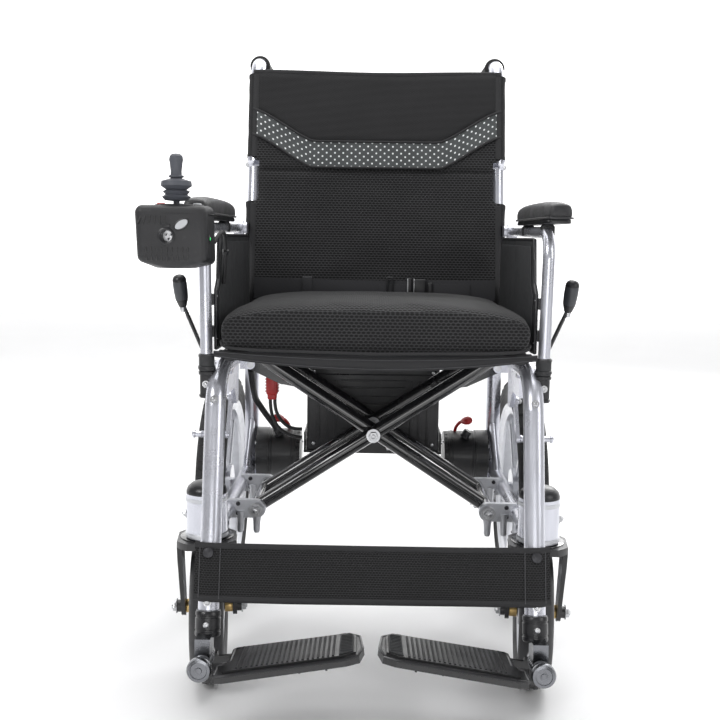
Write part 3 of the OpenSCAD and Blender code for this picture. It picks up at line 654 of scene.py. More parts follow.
band_mat = material("reflective_band", (0.22, 0.25, 0.26), 0.5, 0.0, sheen=0.2, fn=band_fn)
floor_mat = material("floor_mat", (0.93, 0.93, 0.935), 0.6, 0.0, fn=lambda n: {"color": n.mix(n.noise(3, 3, 0.5), (0.92, 0.92, 0.925), (0.945, 0.945, 0.95)), "rough": n.ramp(n.noise(6, 3, 0.5), 0.3, 0.7, 0.5, 0.65)})
led_mat = material("led_green", (0.03, 0.6, 0.12), 0.25, 0.0, 0.6, fn=lambda n: {"color": n.mix(n.noise(500, 2, 0.5), (0.02, 0.55, 0.1), (0.05, 0.8, 0.2)), "emit": ((0.05, 0.9, 0.2), 0.6)})

CAD = {
    "side_frame": silver, "clevises": cast, "caster_housing": silver, "arm_socket": plastic, "drive_motor": satin_black,
    "gearbox": satin_black, "footrest_bracket": chrome, "calf_strap": strap_mesh, "back_cover": coarse_mesh, "cable": grip,
    "brace": gloss, "seat_tube": gloss, "seat_sling": webbing, "seat_cushion": coarse_mesh, "seat_belt": webbing,
    "battery_tray": satin_black, "battery_box": plastic, "link": gloss, "arm_tube": silver, "arm_pad": skin,
    "skirt_guard": matte_plastic, "controller_housing": plastic, "joystick_gimbal": grey_plastic, "joystick_stick": slate,
    "power_button": red, "speed_button": grey_plastic, "horn_button": grey_plastic, "brake_lever": satin_black, "brake_shoe": silver,
    "rear_tyre": rubber, "rear_rim": rim_mat, "caster_fork": satin_black, "caster_wheel": caster_rubber, "foot_knuckle": chrome,
    "footplate": satin_black, "upper_cane": silver,
}
for name, ob in frame["nodes"].items():
    best = max((k for k in CAD if k in name), key=len)
    ob.data.materials.clear() if not ob.material_slots else None
    if not ob.material_slots: ob.data.materials.append(CAD[best])
    for sl in ob.material_slots: sl.material = CAD[best]


# ---------------------------------------------------------------- soft goods
def simulate(ob, pressure, pin=None, cap=0.007, voxel=0.006, frames=20, stiff=15.0):
    """inflates a closed mesh as cloth and keeps the result, moving no point further than cap metres"""
    sc = bpy.context.scene
    m = ob.modifiers.new("remesh", "REMESH")
    m.mode, m.voxel_size = "VOXEL", voxel
    dg = bpy.context.evaluated_depsgraph_get()
    me = bpy.data.meshes.new_from_object(ob.evaluated_get(dg))
    ob.modifiers.clear()
    mats = list(ob.data.materials)
    ob.data = me
    me.materials.clear()
    for x in mats: me.materials.append(x)
    rest = [v.co.copy() for v in me.vertices]
    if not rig.quick():
        if pin:
            g = ob.vertex_groups.new(name="pin")
            for i, c in enumerate(rest):
                w = pin(c)
                if w > 0: g.add([i], w, "REPLACE")
        c = ob.modifiers.new("cloth", "CLOTH")
        st = c.settings
        st.quality, st.mass = 5, 0.4
        st.tension_stiffness = st.compression_stiffness = stiff
        st.shear_stiffness, st.bending_stiffness = 5.0, 0.6
        st.use_pressure, st.uniform_pressure_force = True, pressure
        st.effector_weights.gravity = 0.0
        c.collision_settings.use_self_collision = False
        c.collision_settings.use_collision = False
        if pin: st.vertex_group_mass = "pin"
        c.point_cache.frame_start, c.point_cache.frame_end = 1, frames
        for f in range(1, frames + 1):
            sc.frame_set(f)
        dg = bpy.context.evaluated_depsgraph_get()
        ev = ob.evaluated_get(dg)
        co = [v.co.copy() for v in ev.data.vertices]
        ob.modifiers.clear()
        sc.frame_set(1)
        for v, r0, c1 in zip(me.vertices, rest, co):
            d = c1 - r0
            if not all(math.isfinite(x) for x in d): d = Vector()
            if d.length > cap: d *= cap / d.length
            v.co = r0 + d
    return me


def finish_soft(ob, smooth_it=3, subdiv=True):
    dg_mods = []
    m = ob.modifiers.new("relax", "SMOOTH")
    m.factor, m.iterations = 0.5, smooth_it
    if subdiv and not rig.quick():
        m = ob.modifiers.new("sub", "SUBSURF")
        m.levels = m.render_levels = 1
    dg = bpy.context.evaluated_depsgraph_get()
    me = bpy.data.meshes.new_from_object(ob.evaluated_get(dg))
    ob.modifiers.clear()
    ob.vertex_groups.clear()
    ob.data = me
    me.shade_smooth()
    return me


# seat cushion: crowned block whose front lip drops over the sling hem
def cushion_low(x, y):
    base = 513.6 if y > 34 else lerp(509.2, 513.6, sstep(6, 34, y))
    return base - (7.0 * (1 - (x / 219) ** 2) if y < 30 else 0) * (1 - sstep(14, 30, y))


bm = bmesh.new()
bmesh.ops.create_cube(bm, size=1.0)
bmesh.ops.subdivide_edges(bm, edges=bm.edges[:], cuts=15, use_grid_fill=True)
for v in bm.verts:
    a, b, c = v.co.x * 2, v.co.y * 2, v.co.z * 2
    x, y = a * 214, 212 + b * 201
    # corners pulled in a little, top crowned, sides bellied
    x *= 1 - 0.012 * abs(b) ** 6
    crown = 569 - 15 * abs(a) ** 4 - 7 * abs(b) ** 6 + (4 * math.cos(a * 1.4) if b < 0 else 0)
    z = lerp(cushion_low(x, y), crown, (c + 1) / 2)
    belly = 1 - c * c
    x += math.copysign(4.0, a) * belly * abs(a) ** 8
    y += math.copysign(5.0, b) * belly * abs(b) ** 8
    v.co = (x, y, z)
cushion = put("seat_cushion_cover", _bm_out(bm), coarse_mesh, slot="mesh_fabric")
simulate(cushion, 4.0, cap=0.005, voxel=0.006)
me = finish_soft(cushion, 4)
# soft dents pressed into the top by sitting
for v in me.vertices:
    x, y = v.co.x / MM, v.co.y / MM + YC
    if v.co.z > 0.552:
        v.co.z -= 0.0028 * max(0, noise.noise(Vector((x / 70, y / 90, 3.1)))) + 0.0016 * math.exp(-((abs(x) - 80) / 70) ** 2 - ((y - 240) / 110) ** 2)
box_uv(me)
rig.replaces(cushion, "seat_cushion")
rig.padded(cushion, 0.8)
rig.ride(cushion, "seat_rail_right")
# piping round the bottom seam of the cushion
for nm, zz, off in (("base", 517.0, 0.0),):
    loop = []
    for k in range(120):
        t = 2 * math.pi * k / 120
        a = math.copysign(abs(math.cos(t)) ** 0.13, math.cos(t))
        b = math.copysign(abs(math.sin(t)) ** 0.13, math.sin(t))
        x, y = a * 216.2, 211 + b * 203.2
        z = zz - (6.0 * (1 - (x / 219) ** 2) if (y < 20 and nm == "base") else 0) + (3 * math.cos(a * 1.4) if b < 0 and nm == "top" else 0)
        if nm == "base" and y < 34: z -= lerp(4.4, 0, sstep(6, 34, y))
        loop.append((x, y, z))
    p = put("cushion_piping_" + nm, tube(loop, 2.3, 8, closed=True), binding, "seat_rail_right", slot="web_fabric", uv="box")
    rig.squash(p, "frame_fold", (1, 0, 0), (-0.204, 0, 0), 0.53)
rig.squash(cushion, "frame_fold", (1, 0, 0), (-0.204, 0, 0), 0.53)


# seat sling with a sagging hem over the front
def sling_pt(u, v, off):
    x = lerp(-196, 196, u)
    y = lerp(22, 420, v)
    wrap = sstep(165, 196, abs(x))
    z = 507.0 - 1.2 * (1 - (x / 196) ** 2) - 9.5 * wrap ** 2 + off
    return (x, y, z)


sling = put("seat_sling_cloth", slab(lambda u, v: sling_pt(u, v, 0), lambda u, v: sling_pt(u, v, -1.6), 60, 40), webbing, slot="web_fabric", uv="box")
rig.replaces(sling, "seat_sling")
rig.sheet(sling, (0.41, 0.398), "stretched", ["seat_tube_right", "seat_tube_left"])
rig.ride(sling, "seat_rail_right")
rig.squash(sling, "frame_fold", (1, 0, 0), (-0.204, 0, 0), 0.53)


def hem_pt(u, v, off):
    x = lerp(-222, 222, u)
    e = 1 - (x / 222) ** 2
    top, low = 507.5 - 7 * e, 499.5 - 17 * e
    z = lerp(top, low, v)
    y = 12.5 - 1.6 * math.sin(math.pi * v) + off + 0.9 * noise.noise(Vector((x / 34, v * 2, 1.7)))
    return (x, y, z)


hem = put("seat_front_hem", slab(lambda u, v: hem_pt(u, v, 0), lambda u, v: hem_pt(u, v, 2.6), 90, 8), binding, slot="web_fabric", uv="box")
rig.ride(hem, "seat_rail_right")
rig.squash(hem, "frame_fold", (1, 0, 0), (-0.204, 0, 0), 0.53)
hem_fold = put("seat_front_flap", slab(lambda u, v: (lerp(-216, 216, u), lerp(13, 30, v), lerp(hem_pt(u, 0.2, 0)[2], 507.2, v) ), lambda u, v: (lerp(-216, 216, u), lerp(13, 30, v), lerp(hem_pt(u, 0.2, 0)[2], 507.2, v) - 1.8), 60, 8), webbing, "seat_rail_right", slot="web_fabric", uv="box")
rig.squash(hem_fold, "frame_fold", (1, 0, 0), (-0.204, 0, 0), 0.53)
for k in (0, 1):
    st_pts = [(lerp(-219, 219, i / 80), 11.0 - 0.2, hem_pt(i / 80, 0.16 + 0.66 * k, 0)[2]) for i in range(81)]
    p = put("hem_stitch_%d" % k, tube(st_pts, 0.55, 6), stitch, "seat_rail_right", slot="web_fabric", uv="box")
    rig.squash(p, "frame_fold", (1, 0, 0), (-0.204, 0, 0), 0.53)


# back covers
def back_face(x, z, dents=0.0, sag=6.0):
    w = 226.0
    y = cane_at(z) - 25.0 + sag * (1 - (x / w) ** 2) ** 1.0
    e = sstep(226, 205, abs(x))
    if dents:
        n1 = noise.noise(Vector((x / 120 + 0.35 * math.sin(z / 60), z / 75, 0.4)))
        n2 = noise.noise(Vector((x / 52, z / 40, 7.7)))
        y += dents * (0.9 * n1 + 0.35 * n2) * e
    y += 2.6 * (1 - e) ** 2
    return y


def band_top(x):
    a = abs(x)
    return lerp(836.0, 894.0, sstep(0, 1, max(0, (a - 104) / 124)) * 0.55 + max(0, (a - 118) / 108) * 0.45) if a > 104 else 836.0
def band_low(x):
    a = abs(x)
    return lerp(789.0, 848.0, sstep(0, 1, max(0, (a - 106) / 122)) * 0.55 + max(0, (a - 120) / 106) * 0.45) if a > 106 else 789.0


def cover(name, z0, z1, mat, dents, body, low=None, high=None, nu=110, nv=60, thick=9.0, fill=0.35, inset=None, off=0.0):
    """padded mesh panel between the heights low(x) and high(x), thin at its sewn edges"""
    def at(u, v, back):
        x = lerp(-226, 226, u)
        za = low(x) if low else z0
        zb = high(x) if high else z1
        z = lerp(za, zb, v)
        if inset: x *= inset(z)
        ed = min(1.0, min(u, 1 - u) * 452 / 16, min(v, 1 - v) * (zb - za) / 12)
        t = thick * (0.28 + 0.72 * math.sin(ed * math.pi / 2)) / 2
        yc = back_face(x, z, dents) + thick / 2 + off
        if z < 560: yc += 0
        return (x, yc + (t if back else -t), z)
    return put(name, slab(lambda u, v: at(u, v, False), lambda u, v: at(u, v, True), nu, nv), mat, slot="mesh_fabric", uv=lambda c: (c.x, c.z))


def cane_gap(z):
    # the cover steps in beside the folding hinge, where the cane shows
    return 1 - 0.062 * sstep(722, 732, z) * (1 - sstep(799, 807, z))


lower = cover("back_cover_lower_panel", 506.5, 782.0, coarse_mesh, 4.2, "right_frame", inset=cane_gap, nv=90)
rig.replaces(lower, "back_cover_lower")
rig.padded(lower, 0.3)
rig.ride(lower, "right_frame")
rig.squash(lower, "frame_fold", (1, 0, 0), (-0.221, 0, 0), 0.624)
seam_flap = put("back_seam_flap", slab(lambda u, v: (lerp(-219, 219, u), cane_at(781) - 9.5, lerp(770, 790, v)), lambda u, v: (lerp(-219, 219, u), cane_at(781) - 7.9, lerp(770, 790, v)), 70, 4), binding, "right_frame", slot="web_fabric", uv="box")
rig.squash(seam_flap, "frame_fold", (1, 0, 0), (-0.221, 0, 0), 0.624)
gus = cover("back_cover_mid_panel", 782.8, 0, coarse_mesh, 3.4, "right_upper_back", low=lambda x: 782.8, high=lambda x: max(band_low(x) + 2, 787), inset=cane_gap, nv=24)
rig.padded(gus, 0.3)
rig.ride(gus, "right_upper_back")
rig.squash(gus, "frame_fold", (1, 0, 0), (-0.221, 0, 0), 0.624)
upper = cover("back_cover_upper_panel", 0, 0, fine_mesh, 1.6, "right_upper_back", low=lambda x: band_top(x) - 2, high=lambda x: 961.0 - 1.2 * math.cos(x / 60), nv=50)
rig.replaces(upper, "back_cover_upper")
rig.padded(upper, 0.3)
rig.ride(upper, "right_upper_back")
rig.squash(upper, "frame_fold", (1, 0, 0), (-0.221, 0, 0), 0.624)


def band_pt(u, v, off):
    x = lerp(-225.5, 225.5, u)
    z = lerp(band_low(x), band_top(x), v)
    return (x, back_face(x, z, 0.8) + off, z)


band = put("reflective_band", slab(lambda u, v: band_pt(u, v, -1.2), lambda u, v: band_pt(u, v, 3.5), 120, 14), band_mat, slot="mesh_fabric",
           uv=lambda c: (c.x, c.z - 0.72 * (band_low(c.x / MM) - 789) * MM))
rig.ride(band, "right_upper_back")
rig.squash(band, "frame_fold", (1, 0, 0), (-0.221, 0, 0), 0.624)
for nm, fn in (("top", band_top), ("low", band_low)):
    pts = [(x, back_face(x, fn(x), 0.8) - 1.5, fn(x)) for x in [lerp(-226, 226, i / 110) for i in range(111)]]
    p = put("band_piping_" + nm, tube(pts, 2.1, 8), binding, "right_upper_back", slot="web_fabric", uv="box")
    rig.squash(p, "frame_fold", (1, 0, 0), (-0.221, 0, 0), 0.624)
# bound top edge, side bindings and the lower hem
pts = [(x, back_face(x, 961, 0) + 4.5, 960.5 - 1.2 * math.cos(x / 60)) for x in [lerp(-226, 226, i / 90) for i in range(91)]]
p = put("back_top_binding", tube(pts, 4.2, 10, flat=(4.8, 3.2)), binding, "right_upper_back", slot="web_fabric", uv="box")
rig.squash(p, "frame_fold", (1, 0, 0), (-0.221, 0, 0), 0.624)
pts = [(x, back_face(x, 508, 0) + 4.5, 508.5) for x in [lerp(-224, 224, i / 60) for i in range(61)]]
p = put("back_low_binding", tube(pts, 4.2, 10, flat=(5.2, 3.6)), binding, "right_frame", slot="web_fabric", uv="box")
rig.squash(p, "frame_fold", (1, 0, 0), (-0.221, 0, 0), 0.624)
for s, side in ((-1, "right"), (1, "left")):
    for part, za, zb, body in (("lower", 508, 722, "right_frame"), ("upper", 808, 958, "right_upper_back")):
        pts = [(s * 220.5, back_face(220.5, z, 0) - 0.6, z) for z in [lerp(za, zb, i / 40) for i in range(41)]]
        p = put("%s_%s_back_binding" % (side, part), tube(pts, 3.0, 8, flat=(5.2, 1.5), up=(0, 1, 0)), binding, body, slot="web_fabric", uv="box")
        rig.squash(p, "frame_fold", (1, 0, 0), (-0.221, 0, 0), 0.624)
    # the sleeves that the canes run in
    fb = "right_frame" if s < 0 else "left_frame"
    ub = "right_upper_back" if s < 0 else "left_upper_back"
    for part, za, zb, body in (("lower", 512, 724, fb), ("upper", 806, 957, ub)):
        pts, rr = [], []
        for i in range(41):
            z = lerp(za, zb, i / 40)
            pts.append((221, cane_at(z) + 0.2, z))
            rr.append(15.2 + 0.8 * noise.noise(Vector((z / 22, s, 2.2))) + (0.9 if i in (0, 1, 39, 40) else 0))
        a = tube(pts, rr, 20)
        inner = tube(pts, 13.3, 20)
        put("%s_%s_cane_sleeve" % (side, part), a, fine_mesh, body, s, slot="mesh_fabric", uv="box")


# seat belt
def belt(u, v, off, x0, x1, z0, z1, y0=412.0):
    x = lerp(x0, x1, u)
    sagz = -3.5 * math.sin(math.pi * (x + 214) / 428)
    z = lerp(z0, z1, v) + sagz
    y = y0 + 1.1 * noise.noise(Vector((x / 60, 0.3, 5.1))) + off - 0.8 * math.sin(math.pi * v)
    return (x, y, z)


def belt_piece(name, x0, x1, z0, z1, y0, flat=None):
    ob = put(name, slab(lambda u, v: belt(u, v, 0, x0, x1, z0, z1, y0), lambda u, v: belt(u, v, 1.5, x0, x1, z0, z1, y0), 80, 8), webbing, slot="web_fabric", uv=lambda c: (c.x, c.z))
    return ob


b1 = belt_piece("seat_belt_webbing", -213, 213, 555, 592, 417.2)
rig.replaces(b1, "seat_belt")
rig.sheet(b1, (0.426, 0.037), "stretched", ["seat_cushion"])
b2 = belt_piece("seat_belt_flap", 8, 168, 557, 586, 414.6)
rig.sheet(b2, (0.16, 0.029), "laid", ["seat_belt_webbing"])
belt_bits = [b1, b2]
loop = tube([(-130, 413.4, 593), (-130, 413.2, 552), (-130, 420.4, 551), (-130, 420.6, 594)], 3, 10, closed=True, flat=(8.0, 1.2), up=(1, 0, 0))
belt_bits.append(put("belt_keeper_loop", [rbox((-119, 414.4, 570), (17, 2.6, 46), 1.2), rbox((-119, 420.6, 570), (17, 1.8, 46), 0.8), rbox((-119, 417.6, 593), (17, 8, 2), 0.8), rbox((-119, 417.6, 547.5), (17, 8, 2), 0.8)], webbing, slot="web_fabric", uv="box"))
belt_bits.append(put("belt_slider", [rbox((22, 412.6, 572), (3.6, 3.2, 46), 1.4), rbox((31, 412.6, 572), (3.6, 3.2, 46), 1.4), rbox((26.5, 412.6, 594), (12, 3.2, 3.4), 1.4), rbox((26.5, 412.6, 550), (12, 3.2, 3.4), 1.4)], smooth_plastic, slot="black_plastic"))
belt_bits.append(put("belt_buckle", [rbox((62, 411.6, 571), (8, 4.6, 45), 1.8), rbox((80, 411.4, 571), (22, 5.6, 42), 2.2), rbox((98, 412.2, 571), (8, 3.4, 30), 1.4)], smooth_plastic, slot="black_plastic"))
belt_bits.append(put("belt_adjuster_bars", [rbox((58.5, 409.9, 572), (2.6, 1.8, 42), 0.8), rbox((69.5, 409.9, 572), (2.2, 1.8, 42), 0.8)], zinc, slot="grey_plastic"))
for ob in belt_bits:
    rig.ride(ob, "seat_rail_right")
    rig.squash(ob, "frame_fold", (1, 0, 0), (-0.204, 0, 0), 0.53)


# calf strap
def strap_pt(u, v, off):
    x = lerp(-240, 240, u)
    z = lerp(179, 251, v)
    sag = 3.0 * (1 - (x / 240) ** 2)
    z -= 2.2 * (1 - (x / 240) ** 2) * 0.6
    wrap = sstep(218, 240, abs(x))
    y = front_at(z) - 18.2 + off + 6.0 * wrap ** 2 + 1.2 * noise.noise(Vector((x / 70, z / 40, 9.1))) * (1 - wrap) + sag * 0.3
    return (x, y, z)


strap = put("calf_strap_mesh", slab(lambda u, v: strap_pt(u, v, 0), lambda u, v: strap_pt(u, v, 2.2), 110, 16), strap_mesh, slot="mesh_fabric", uv=lambda c: (c.x, c.z))
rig.replaces(strap, "calf_strap")
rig.sheet(strap, (0.482, 0.075), "stretched", ["right_side_frame", "left_side_frame"])
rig.ride(strap, "right_frame")
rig.squash(strap, "frame_fold", (1, 0, 0), (-0.221, 0, 0), 0.624)
for k, v in (("top", 0.97), ("low", 0.03)):
    pts = [strap_pt(i / 90, v, 0.9) for i in range(91)]
    p = put("calf_strap_binding_" + k, tube(pts, 3, 10, flat=(2.4, 4.6), up=(0, 0, 1)), binding, "right_frame", slot="web_fabric", uv="box")
    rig.squash(p, "frame_fold", (1, 0, 0), (-0.221, 0, 0), 0.624)
for s, side in ((-1, "right"), (1, "left")):
    for x in (205, 233):
        pts = [(s * x, strap_pt(0.5 + s * x / 480, v, -0.9)[1], lerp(182, 248, v)) for v in [i / 12 for i in range(13)]]
        p = put("%s_strap_seam_%d" % (side, x), tube(pts, 0.7, 6), stitch, "right_frame", slot="web_fabric", uv="box")
        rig.squash(p, "frame_fold", (1, 0, 0), (-0.221, 0, 0), 0.624)


# ---------------------------------------------------------------- hard detail
def tube_nrm(): return (0, -math.cos(LEAN), math.sin(LEAN))


for s, side in ((-1, "right"), (1, "left")):
    F = side + "_frame"
    nr = tube_nrm()

    # foot of the front tube: black sleeve with its clamp bands and screw
    d = Vector((0, math.sin(LEAN), math.cos(LEAN)))
    base = Vector((HW, front_at(129), 129))
    put(side + "_foot_sleeve", lathe([(0, -1.5), (15.6, -1.5), (17.2, 0.5), (17.3, 5), (16.5, 5.6), (16.5, 8), (17.3, 8.6), (17.3, 23), (16.4, 23.8), (16.4, 26), (17.2, 26.6), (17.2, 31), (15.8, 33), (14.6, 33.4)], base, d, 40), smooth_plastic, F, s, "black_plastic")
    put(side + "_foot_sleeve_bolt", bolt(base + d * 15 + Vector(nr) * 16.4, nr, 4.2, 3, "socket", False), zinc, F, s)
    for zz, kk in ((172, 0), (437, 1)):
        c = Vector((HW, front_at(zz), zz)) + Vector(nr) * 14.0
        put("%s_tube_screw_%d" % (side, kk), bolt(c, nr, 3.8, 2.4, "cross"), zinc, F, s)
    # strap stud on the front tube
    c = Vector((HW, front_at(236), 236)) + Vector(nr) * 14.0
    put(side + "_strap_stud", [lathe([(0, 2), (7.2, 2.2), (7.6, 3.4), (6.6, 5.2), (3.2, 6.2), (0, 6.4)], c, nr, 24)], steel_dark, F, s)
    # weld beads round the joints
    beads = []
    for p, ax, rr in (((HW, 463 - 20, 476), (0, 1, 0), 14.6), ((HW, 64, 250), (0, 1, 0), 11.4), ((HW, 443, 250), (0, 1, 0), 11.4)):
        pts = []
        x, y, z = frame_of(ax)
        for k in range(40):
            a = 2 * math.pi * k / 40
            w = rr + 0.5 * math.sin(k * 2.6)
            pts.append(Vector(p) + x * math.cos(a) * w + y * math.sin(a) * w)
        beads.append(tube(pts, 1.7, 8, closed=True))
    put(side + "_weld_beads", beads, silver, F, s, "silver_tube")

    # caster housing: domed black cap, base ring and seam grooves
    put(side + "_caster_cap", lathe([(27.4, 301), (28.6, 302.2), (28.8, 305.5), (26.6, 311.5), (21, 316.5), (12, 319.2), (5, 320.2), (0, 320.4)], (236, 36, 0), (0, 0, 1), 48), smooth_plastic, F, s, "black_plastic")
    put(side + "_caster_collar", [ring([(28.8, 240.5), (30.2, 241.2), (30.4, 246), (29.2, 247.4), (28.8, 247.4)], (236, 36, 0), (0, 0, 1), 48), ring([(28.8, 292), (29.9, 292.8), (29.9, 297.6), (28.8, 298.4)], (236, 36, 0), (0, 0, 1), 48)], cast, F, s, "cast_silver")
    put(side + "_stem_seal", ring([(9, 236.8), (24, 236.8), (25, 238), (24, 239.8), (9, 239.8)], (236, 36, 0), (0, 0, 1), 40), grip, F, s, "grip_rubber")
    put(side + "_housing_bolts", bolt((236 + 28.6, 36, 272), (1, 0, 0), 5, 3.6, "hex") , zinc, F, s)

    # clevis nuts and bolts
    for y, ax in ((131.0, -1), (312.0, 1)):
        put("%s_clevis_bolt_%s" % (side, "front" if ax < 0 else "rear"), bolt((177, y, 250), (0, ax, 0), 7.5, 5, "hex"), zinc, F, s)
    put(side + "_clevis_screws", sum([bolt((205, y, 258), (0, -1, 0), 3.4, 2, "socket", False) + bolt((205, y, 243), (0, -1, 0), 3.4, 2, "socket", False) for y in (137.6, 295.1)], []), steel_dark, F, s)
    put(side + "_clevis_lobes", [lathe([(0, -30), (3.6, -29.4), (5.2, -27), (5.8, -12), (7.6, -2), (8.8, 6), (0, 6)], (x, y, 242), (0, 0, 1), 20) for x in (177, 202) for y in (142.5, 300)], cast, F, s, "cast_silver")

    # drive motor: finned end cap, flange screws, cable gland, release lever
    put(side + "_motor_cap", [lathe([(0, -1.2), (20, -1.2), (22, 0), (34, 0.4), (37, 2.4), (43.4, 6), (43.6, 9), (42, 10), (40, 10)], (129.4, 435, 273), (1, 0, 0), 56)] +
        [rbox((134, 435 + 41.4 * math.cos(a), 273 + 41.4 * math.sin(a)), (9, 3.2, 6), 1.2, rot("X", math.degrees(a))) for a in [2 * math.pi * k / 24 for k in range(24)]], satin_black, F, s, "black_paint")
    put(side + "_motor_bands", [ring([(43.6, x), (44.8, x + 0.8), (44.8, x + 3.2), (43.6, x + 4)], (0, 435, 273), (1, 0, 0), 56) for x in (142, 179)], smooth_plastic, F, s, "black_plastic")
    put(side + "_motor_screws", sum([bolt((129.2, 435 + 30 * math.cos(a), 273 + 30 * math.sin(a)), (-1, 0, 0), 3, 2, "cross", False) for a in (0.5, 2.07, 3.64, 5.2)], []), zinc, F, s)
    put(side + "_gearbox_screws", sum([bolt((186, 435 + 41 * math.cos(a), 273 + 41 * math.sin(a)), (-1, 0, 0), 0.1, 0.1, "dome", False) for a in ()] + [bolt((207.4, yy, zz), (1, 0, 0), 3.6, 2.4, "socket", False) for yy, zz in ((435, 313), (402, 296), (399, 255), (463, 178), (500, 184), (507, 214))], []), zinc, F, s)
    put(side + "_gearbox_rib", [tube([(207.8, 435 + 36 * math.cos(a), 273 + 36 * math.sin(a)) for a in [math.pi * (0.1 + 1.25 * k / 30) for k in range(31)]], 1.5, 8)], satin_black, F, s, "black_paint")
    put(side + "_freewheel_lever", [tube(smooth_path([(150, 435, 317), (152, 430, 326), (158, 420, 336), (166, 408, 341)], 6), 3, 10), lathe([(0, -4), (5, -3), (7, 4), (7.4, 12), (5.4, 17), (0, 18.4)], (164, 411, 340), (0.55, -0.8, 0.25), 24)], red, F, s, "red_plastic")
    put(side + "_motor_gland", [lathe([(9, 0), (9, 4), (7.6, 4.6), (7.6, 12), (6.4, 14), (0, 14.4)], (164.4, 408.6, 312), (0.529, -0.174, 0.831), 24)], smooth_plastic, F, s, "black_plastic")
    put(side + "_axle_plate_bolts", bolt((212, 452, 248), (1, 0, 0), 5, 3.4, "hex") + bolt((212, 452, 190), (1, 0, 0), 5, 3.4, "hex"), zinc, F, s)

    # wheel lock bracket bolts and armrest pivot nut, fold hinge bolt
    put(side + "_lock_bracket_bolts", bolt((240, 262, 455), (1, 0, 0), 4.6, 3.2, "hex") + bolt((240, 335, 455), (1, 0, 0), 4.6, 3.2, "hex"), zinc, F, s)
    put(side + "_lever_pivot_nut", bolt((249.4, 245, 425), (1, 0, 0), 5, 3.4, "hex", False), zinc, F, s)
    put(side + "_shoe_pivot_nut", bolt((249.4, 341, 389), (1, 0, 0), 5, 3.4, "hex", False), zinc, F, s)
    put(side + "_arm_pivot_cap", lathe([(0, 0), (9.2, 0), (9.4, 1.6), (8.2, 4), (4, 5.4), (0, 5.8)], (255, 445, 678), (1, 0, 0), 28), smooth_plastic, F, s, "black_plastic")
    put(side + "_saddle_pads", [rbox((212, y + 8, 484.5), (9, 18, 3.4), 1.2) for y in (95, 350)], smooth_plastic, F, s, "black_plastic")
    put(side + "_link_rivet", [lathe([(0, -5), (6.6, -5), (7.2, -3.2), (5, -1), (0, -0.4)], (197, 222.6, 461), (0, -1, 0), 24)], zinc, F, s)
    U = side + "_upper_back"
    put(side + "_fold_hinge_bolt", bolt((236, 535, 795), (1, 0, 0), 5.4, 3.4, "hex") + bolt((206, 535, 795), (-1, 0, 0), 5.4, 3.4, "hex"), zinc, U, s)
    # push handle grip with finger ribs and flanges
    prof = [(0, 103.6), (10, 103.4), (15.4, 101.6), (17.6, 98.4), (18, 95), (17.4, 92)]
    for k in range(10):
        y = 88 - k * 8.2
        prof += [(17.3, y), (17.9, y - 1.4), (17.9, y - 4.2), (17.1, y - 5.8)]
    prof += [(17.2, 4), (18.8, 2.4), (19, -1), (17.6, -2.6), (13, -3), (12.8, -1)]
    put(side + "_push_grip", lathe(prof, (HW, 588.5, 982), (0, 1, 0), 40), grip, U, s, "grip_rubber")

    # seat tube end plugs
    RB = "seat_rail_" + side
    put(side + "_seat_tube_plug", [lathe([(10.4, 1.5), (10.6, 0), (10.2, -2.2), (7.6, -4.2), (3, -5), (0, -5.1)], (204, 45, 499), (0, 1, 0), 28)], smooth_plastic, RB, s, "black_plastic")
    put(side + "_seat_rail_screws", sum([bolt((204, y, 508.4), (0, 0, 1), 3.2, 0.9, "dome", False) for y in (60, 130, 210, 330, 400)], []), zinc, RB, s)
    # armrest socket: collar screw and rings
    put(side + "_arm_socket_screw", bolt((236, 32.6, 458), (0, -1, 0), 3.4, 2.4, "socket"), zinc, F, s)
    put(side + "_arm_socket_ring", [ring([(9.4, 470), (11.2, 470.8), (11.4, 475), (9.4, 475.8)], (236, 42, 0), (0, 0, 1), 32), ring([(9.4, 439), (10.8, 439.6), (10.8, 442.4), (9.4, 443)], (236, 42, 0), (0, 0, 1), 32)], smooth_plastic, F, s, "black_plastic")

    # armrest pad: padded, with a welt and a hard base
    A = side + "_armrest"
    bm = bmesh.new()
    bmesh.ops.create_cube(bm, size=1.0)
    bmesh.ops.subdivide_edges(bm, edges=bm.edges[:], cuts=13, use_grid_fill=True)
    for v in bm.verts:
        a, b, c = v.co.x * 2, v.co.y * 2, v.co.z * 2
        q = abs(b) ** 5
        hwid = 20.5 * (1 - 0.22 * q)
        top = 718.0 - 4.0 * a * a - 4.5 * q
        lowz = 691.0
        n = max(abs(a), 1e-6)
        x = a * hwid * (1 - 0.10 * max(0, c) ** 3)
        z = lerp(lowz, top, (c + 1) / 2)
        v.co = (247.5 + x, 164 + b * 148, z)
    pad = put(side + "_arm_pad_cover", _bm_out(bm), skin, None, s, slot="pad_foam")
    simulate(pad, 3.0, cap=0.0022, voxel=0.0045)
    me = finish_soft(pad, 3)
    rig.replaces(pad, side + "_arm_pad")
    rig.padded(pad, 0.9)
    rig.ride(pad, A)
    base_poly = []
    for k in range(64):
        t = 2 * math.pi * k / 64
        a = math.copysign(abs(math.cos(t)) ** 0.28, math.cos(t)); b = math.copysign(abs(math.sin(t)) ** 0.28, math.sin(t))
        base_poly.append((247.5 + a * 18.6, 164 + b * 145))
    put(side + "_arm_pad_base", prism(base_poly, 686.6, 692.5, lambda a, b, h: (a, b, h), 1.2), smooth_plastic, A, s, "black_plastic")
    welt = [(247.5 + math.copysign(abs(math.cos(t)) ** 0.3, math.cos(t)) * 21.0, 164 + math.copysign(abs(math.sin(t)) ** 0.3, math.sin(t)) * 149.2, 694.4) for t in [2 * math.pi * k / 96 for k in range(96)]]
